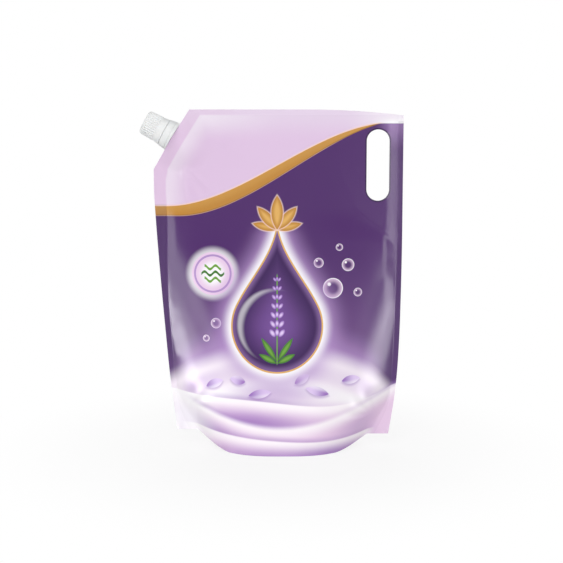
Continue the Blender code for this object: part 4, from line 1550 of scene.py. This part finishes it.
def make_floor():
    """White floor that keeps the soft shadow close to the pouch."""
    mesh = bmesh.new()
    bmesh.ops.create_grid(mesh, x_segments=1, y_segments=1, size=FLOOR_SIZE)
    floor = built_object("floor", mesh)
    floor.location = (CENTRE_X, 0.0, -FLOOR_DROP)
    made = bpy.data.materials.new("floor_white")
    made.use_nodes = True
    tree = made.node_tree
    tree.nodes.clear()
    matt = tree.nodes.new("ShaderNodeBsdfDiffuse")
    matt.inputs["Color"].default_value = (FLOOR_GREY, FLOOR_GREY, FLOOR_GREY, 1.0)
    plain = tree.nodes.new("ShaderNodeEmission")
    plain.inputs["Color"].default_value = (1.0, 1.0, 1.0, 1.0)
    split = tree.nodes.new("ShaderNodeSeparateXYZ")
    tree.links.new(object_place(tree), split.inputs[0])
    away = length(Term(tree, split.outputs["X"]), Term(tree, split.outputs["Y"]))
    plainness = smooth(away, 0.06, 0.3) * (1 - FLOOR_PLAIN_NEAR) + FLOOR_PLAIN_NEAR
    blend = tree.nodes.new("ShaderNodeMixShader")
    feed(seen_directly(tree) * plainness, blend.inputs["Fac"])
    tree.links.new(matt.outputs[0], blend.inputs[1])
    tree.links.new(plain.outputs[0], blend.inputs[2])
    output = tree.nodes.new("ShaderNodeOutputMaterial")
    tree.links.new(blend.outputs[0], output.inputs["Surface"])
    floor.data.materials.append(made)


def make_world():
    """Even pale room light, seen as plain white by the camera."""
    world = bpy.data.worlds.new("studio")
    bpy.context.scene.world = world
    world.use_nodes = True
    tree = world.node_tree
    ground = tree.nodes["Background"]
    in_gloss = ray_kind(tree, "Is Glossy Ray") * (ROOM_LIGHT - ROOM_IN_GLOSS)
    feed(seen_directly(tree) * (1 - ROOM_LIGHT) + ROOM_LIGHT - in_gloss, ground.inputs["Strength"])
    ground.inputs["Color"].default_value = (1.0, 1.0, 1.0, 1.0)


def softbox(name, place, aim, size, power):
    """A rectangular studio light that faces a point."""
    light = bpy.data.lights.new(name, "AREA")
    light.shape = "RECTANGLE"
    light.size, light.size_y = size
    light.energy = power
    made = placed_object(name, light)
    made.location = place
    made.rotation_euler = (Vector(aim) - Vector(place)).to_track_quat("-Z", "Y").to_euler()
    made.visible_camera = False
    return made


def streak_lights(facing, side, boxes):
    """Small soft lights that only show as one upright streak along a side of the pouch."""
    for number, (turn, reach, height, size, radiance) in enumerate(boxes):
        turn = math.radians(turn)
        foot = Vector((side * 0.1 + CENTRE_X, 0.0, height))
        place = foot + Vector((side * math.sin(turn), facing * math.cos(turn), 0.0)) * reach
        power = radiance * math.pi * size[0] * size[1]
        light = softbox(f"streak_{facing}_{side}_{number}", place, foot, size, power)
        light.visible_diffuse = False


def make_lights():
    """A high key light, plain fills in front and behind, and the lights of the side streaks."""
    middle = Vector((CENTRE_X, 0.0, 0.15))
    softbox("key", (-0.35, -1.1, 1.5), middle, (1.1, 0.8), 9.0)
    fills = (("fill", (0.25, -1.5, 0.36), 8.0), ("back_fill", (-0.3, 1.5, 0.6), 12.0))
    for name, place, power in fills:
        fill = softbox(name, place, middle, (1.2, 0.8), power)
        fill.visible_glossy = False
    foot = Vector((CENTRE_X, 0.0, 0.02))
    for facing in (-1, 1):
        place = (facing * 0.9, facing * 0.5, 0.1)
        low_fill = softbox(f"low_fill_{facing}", place, foot, (0.5, 0.1), 0.07)
        low_fill.data.spread = math.radians(30)
        low_fill.visible_glossy = False
    for facing in (-1, 1):
        streak_lights(facing, -1, LEFT_STREAK)
        streak_lights(facing, 1, RIGHT_STREAK)


def make_camera():
    """The photograph's view: square on to the front, from slightly above."""
    data = bpy.data.cameras.new("camera")
    data.sensor_width = 36.0
    data.lens = FOCAL_PIXELS / IMAGE_SIDE * data.sensor_width
    camera = placed_object("camera", data)
    back = Vector((0.0, -math.cos(CAMERA_PITCH), math.sin(CAMERA_PITCH)))
    camera.location = CAMERA_AIM + back * CAMERA_DISTANCE
    camera.rotation_euler = (math.pi / 2 - CAMERA_PITCH, 0.0, 0.0)
    bpy.context.scene.camera = camera


def main():
    bpy.context.scene.view_settings.view_transform = "Standard"
    make_film()
    make_cap()
    make_band()
    make_bridges()
    make_neck_thread()
    make_neck()
    make_weld_base()
    dress_disc()
    make_floor()
    make_world()
    make_lights()
    make_camera()


main()
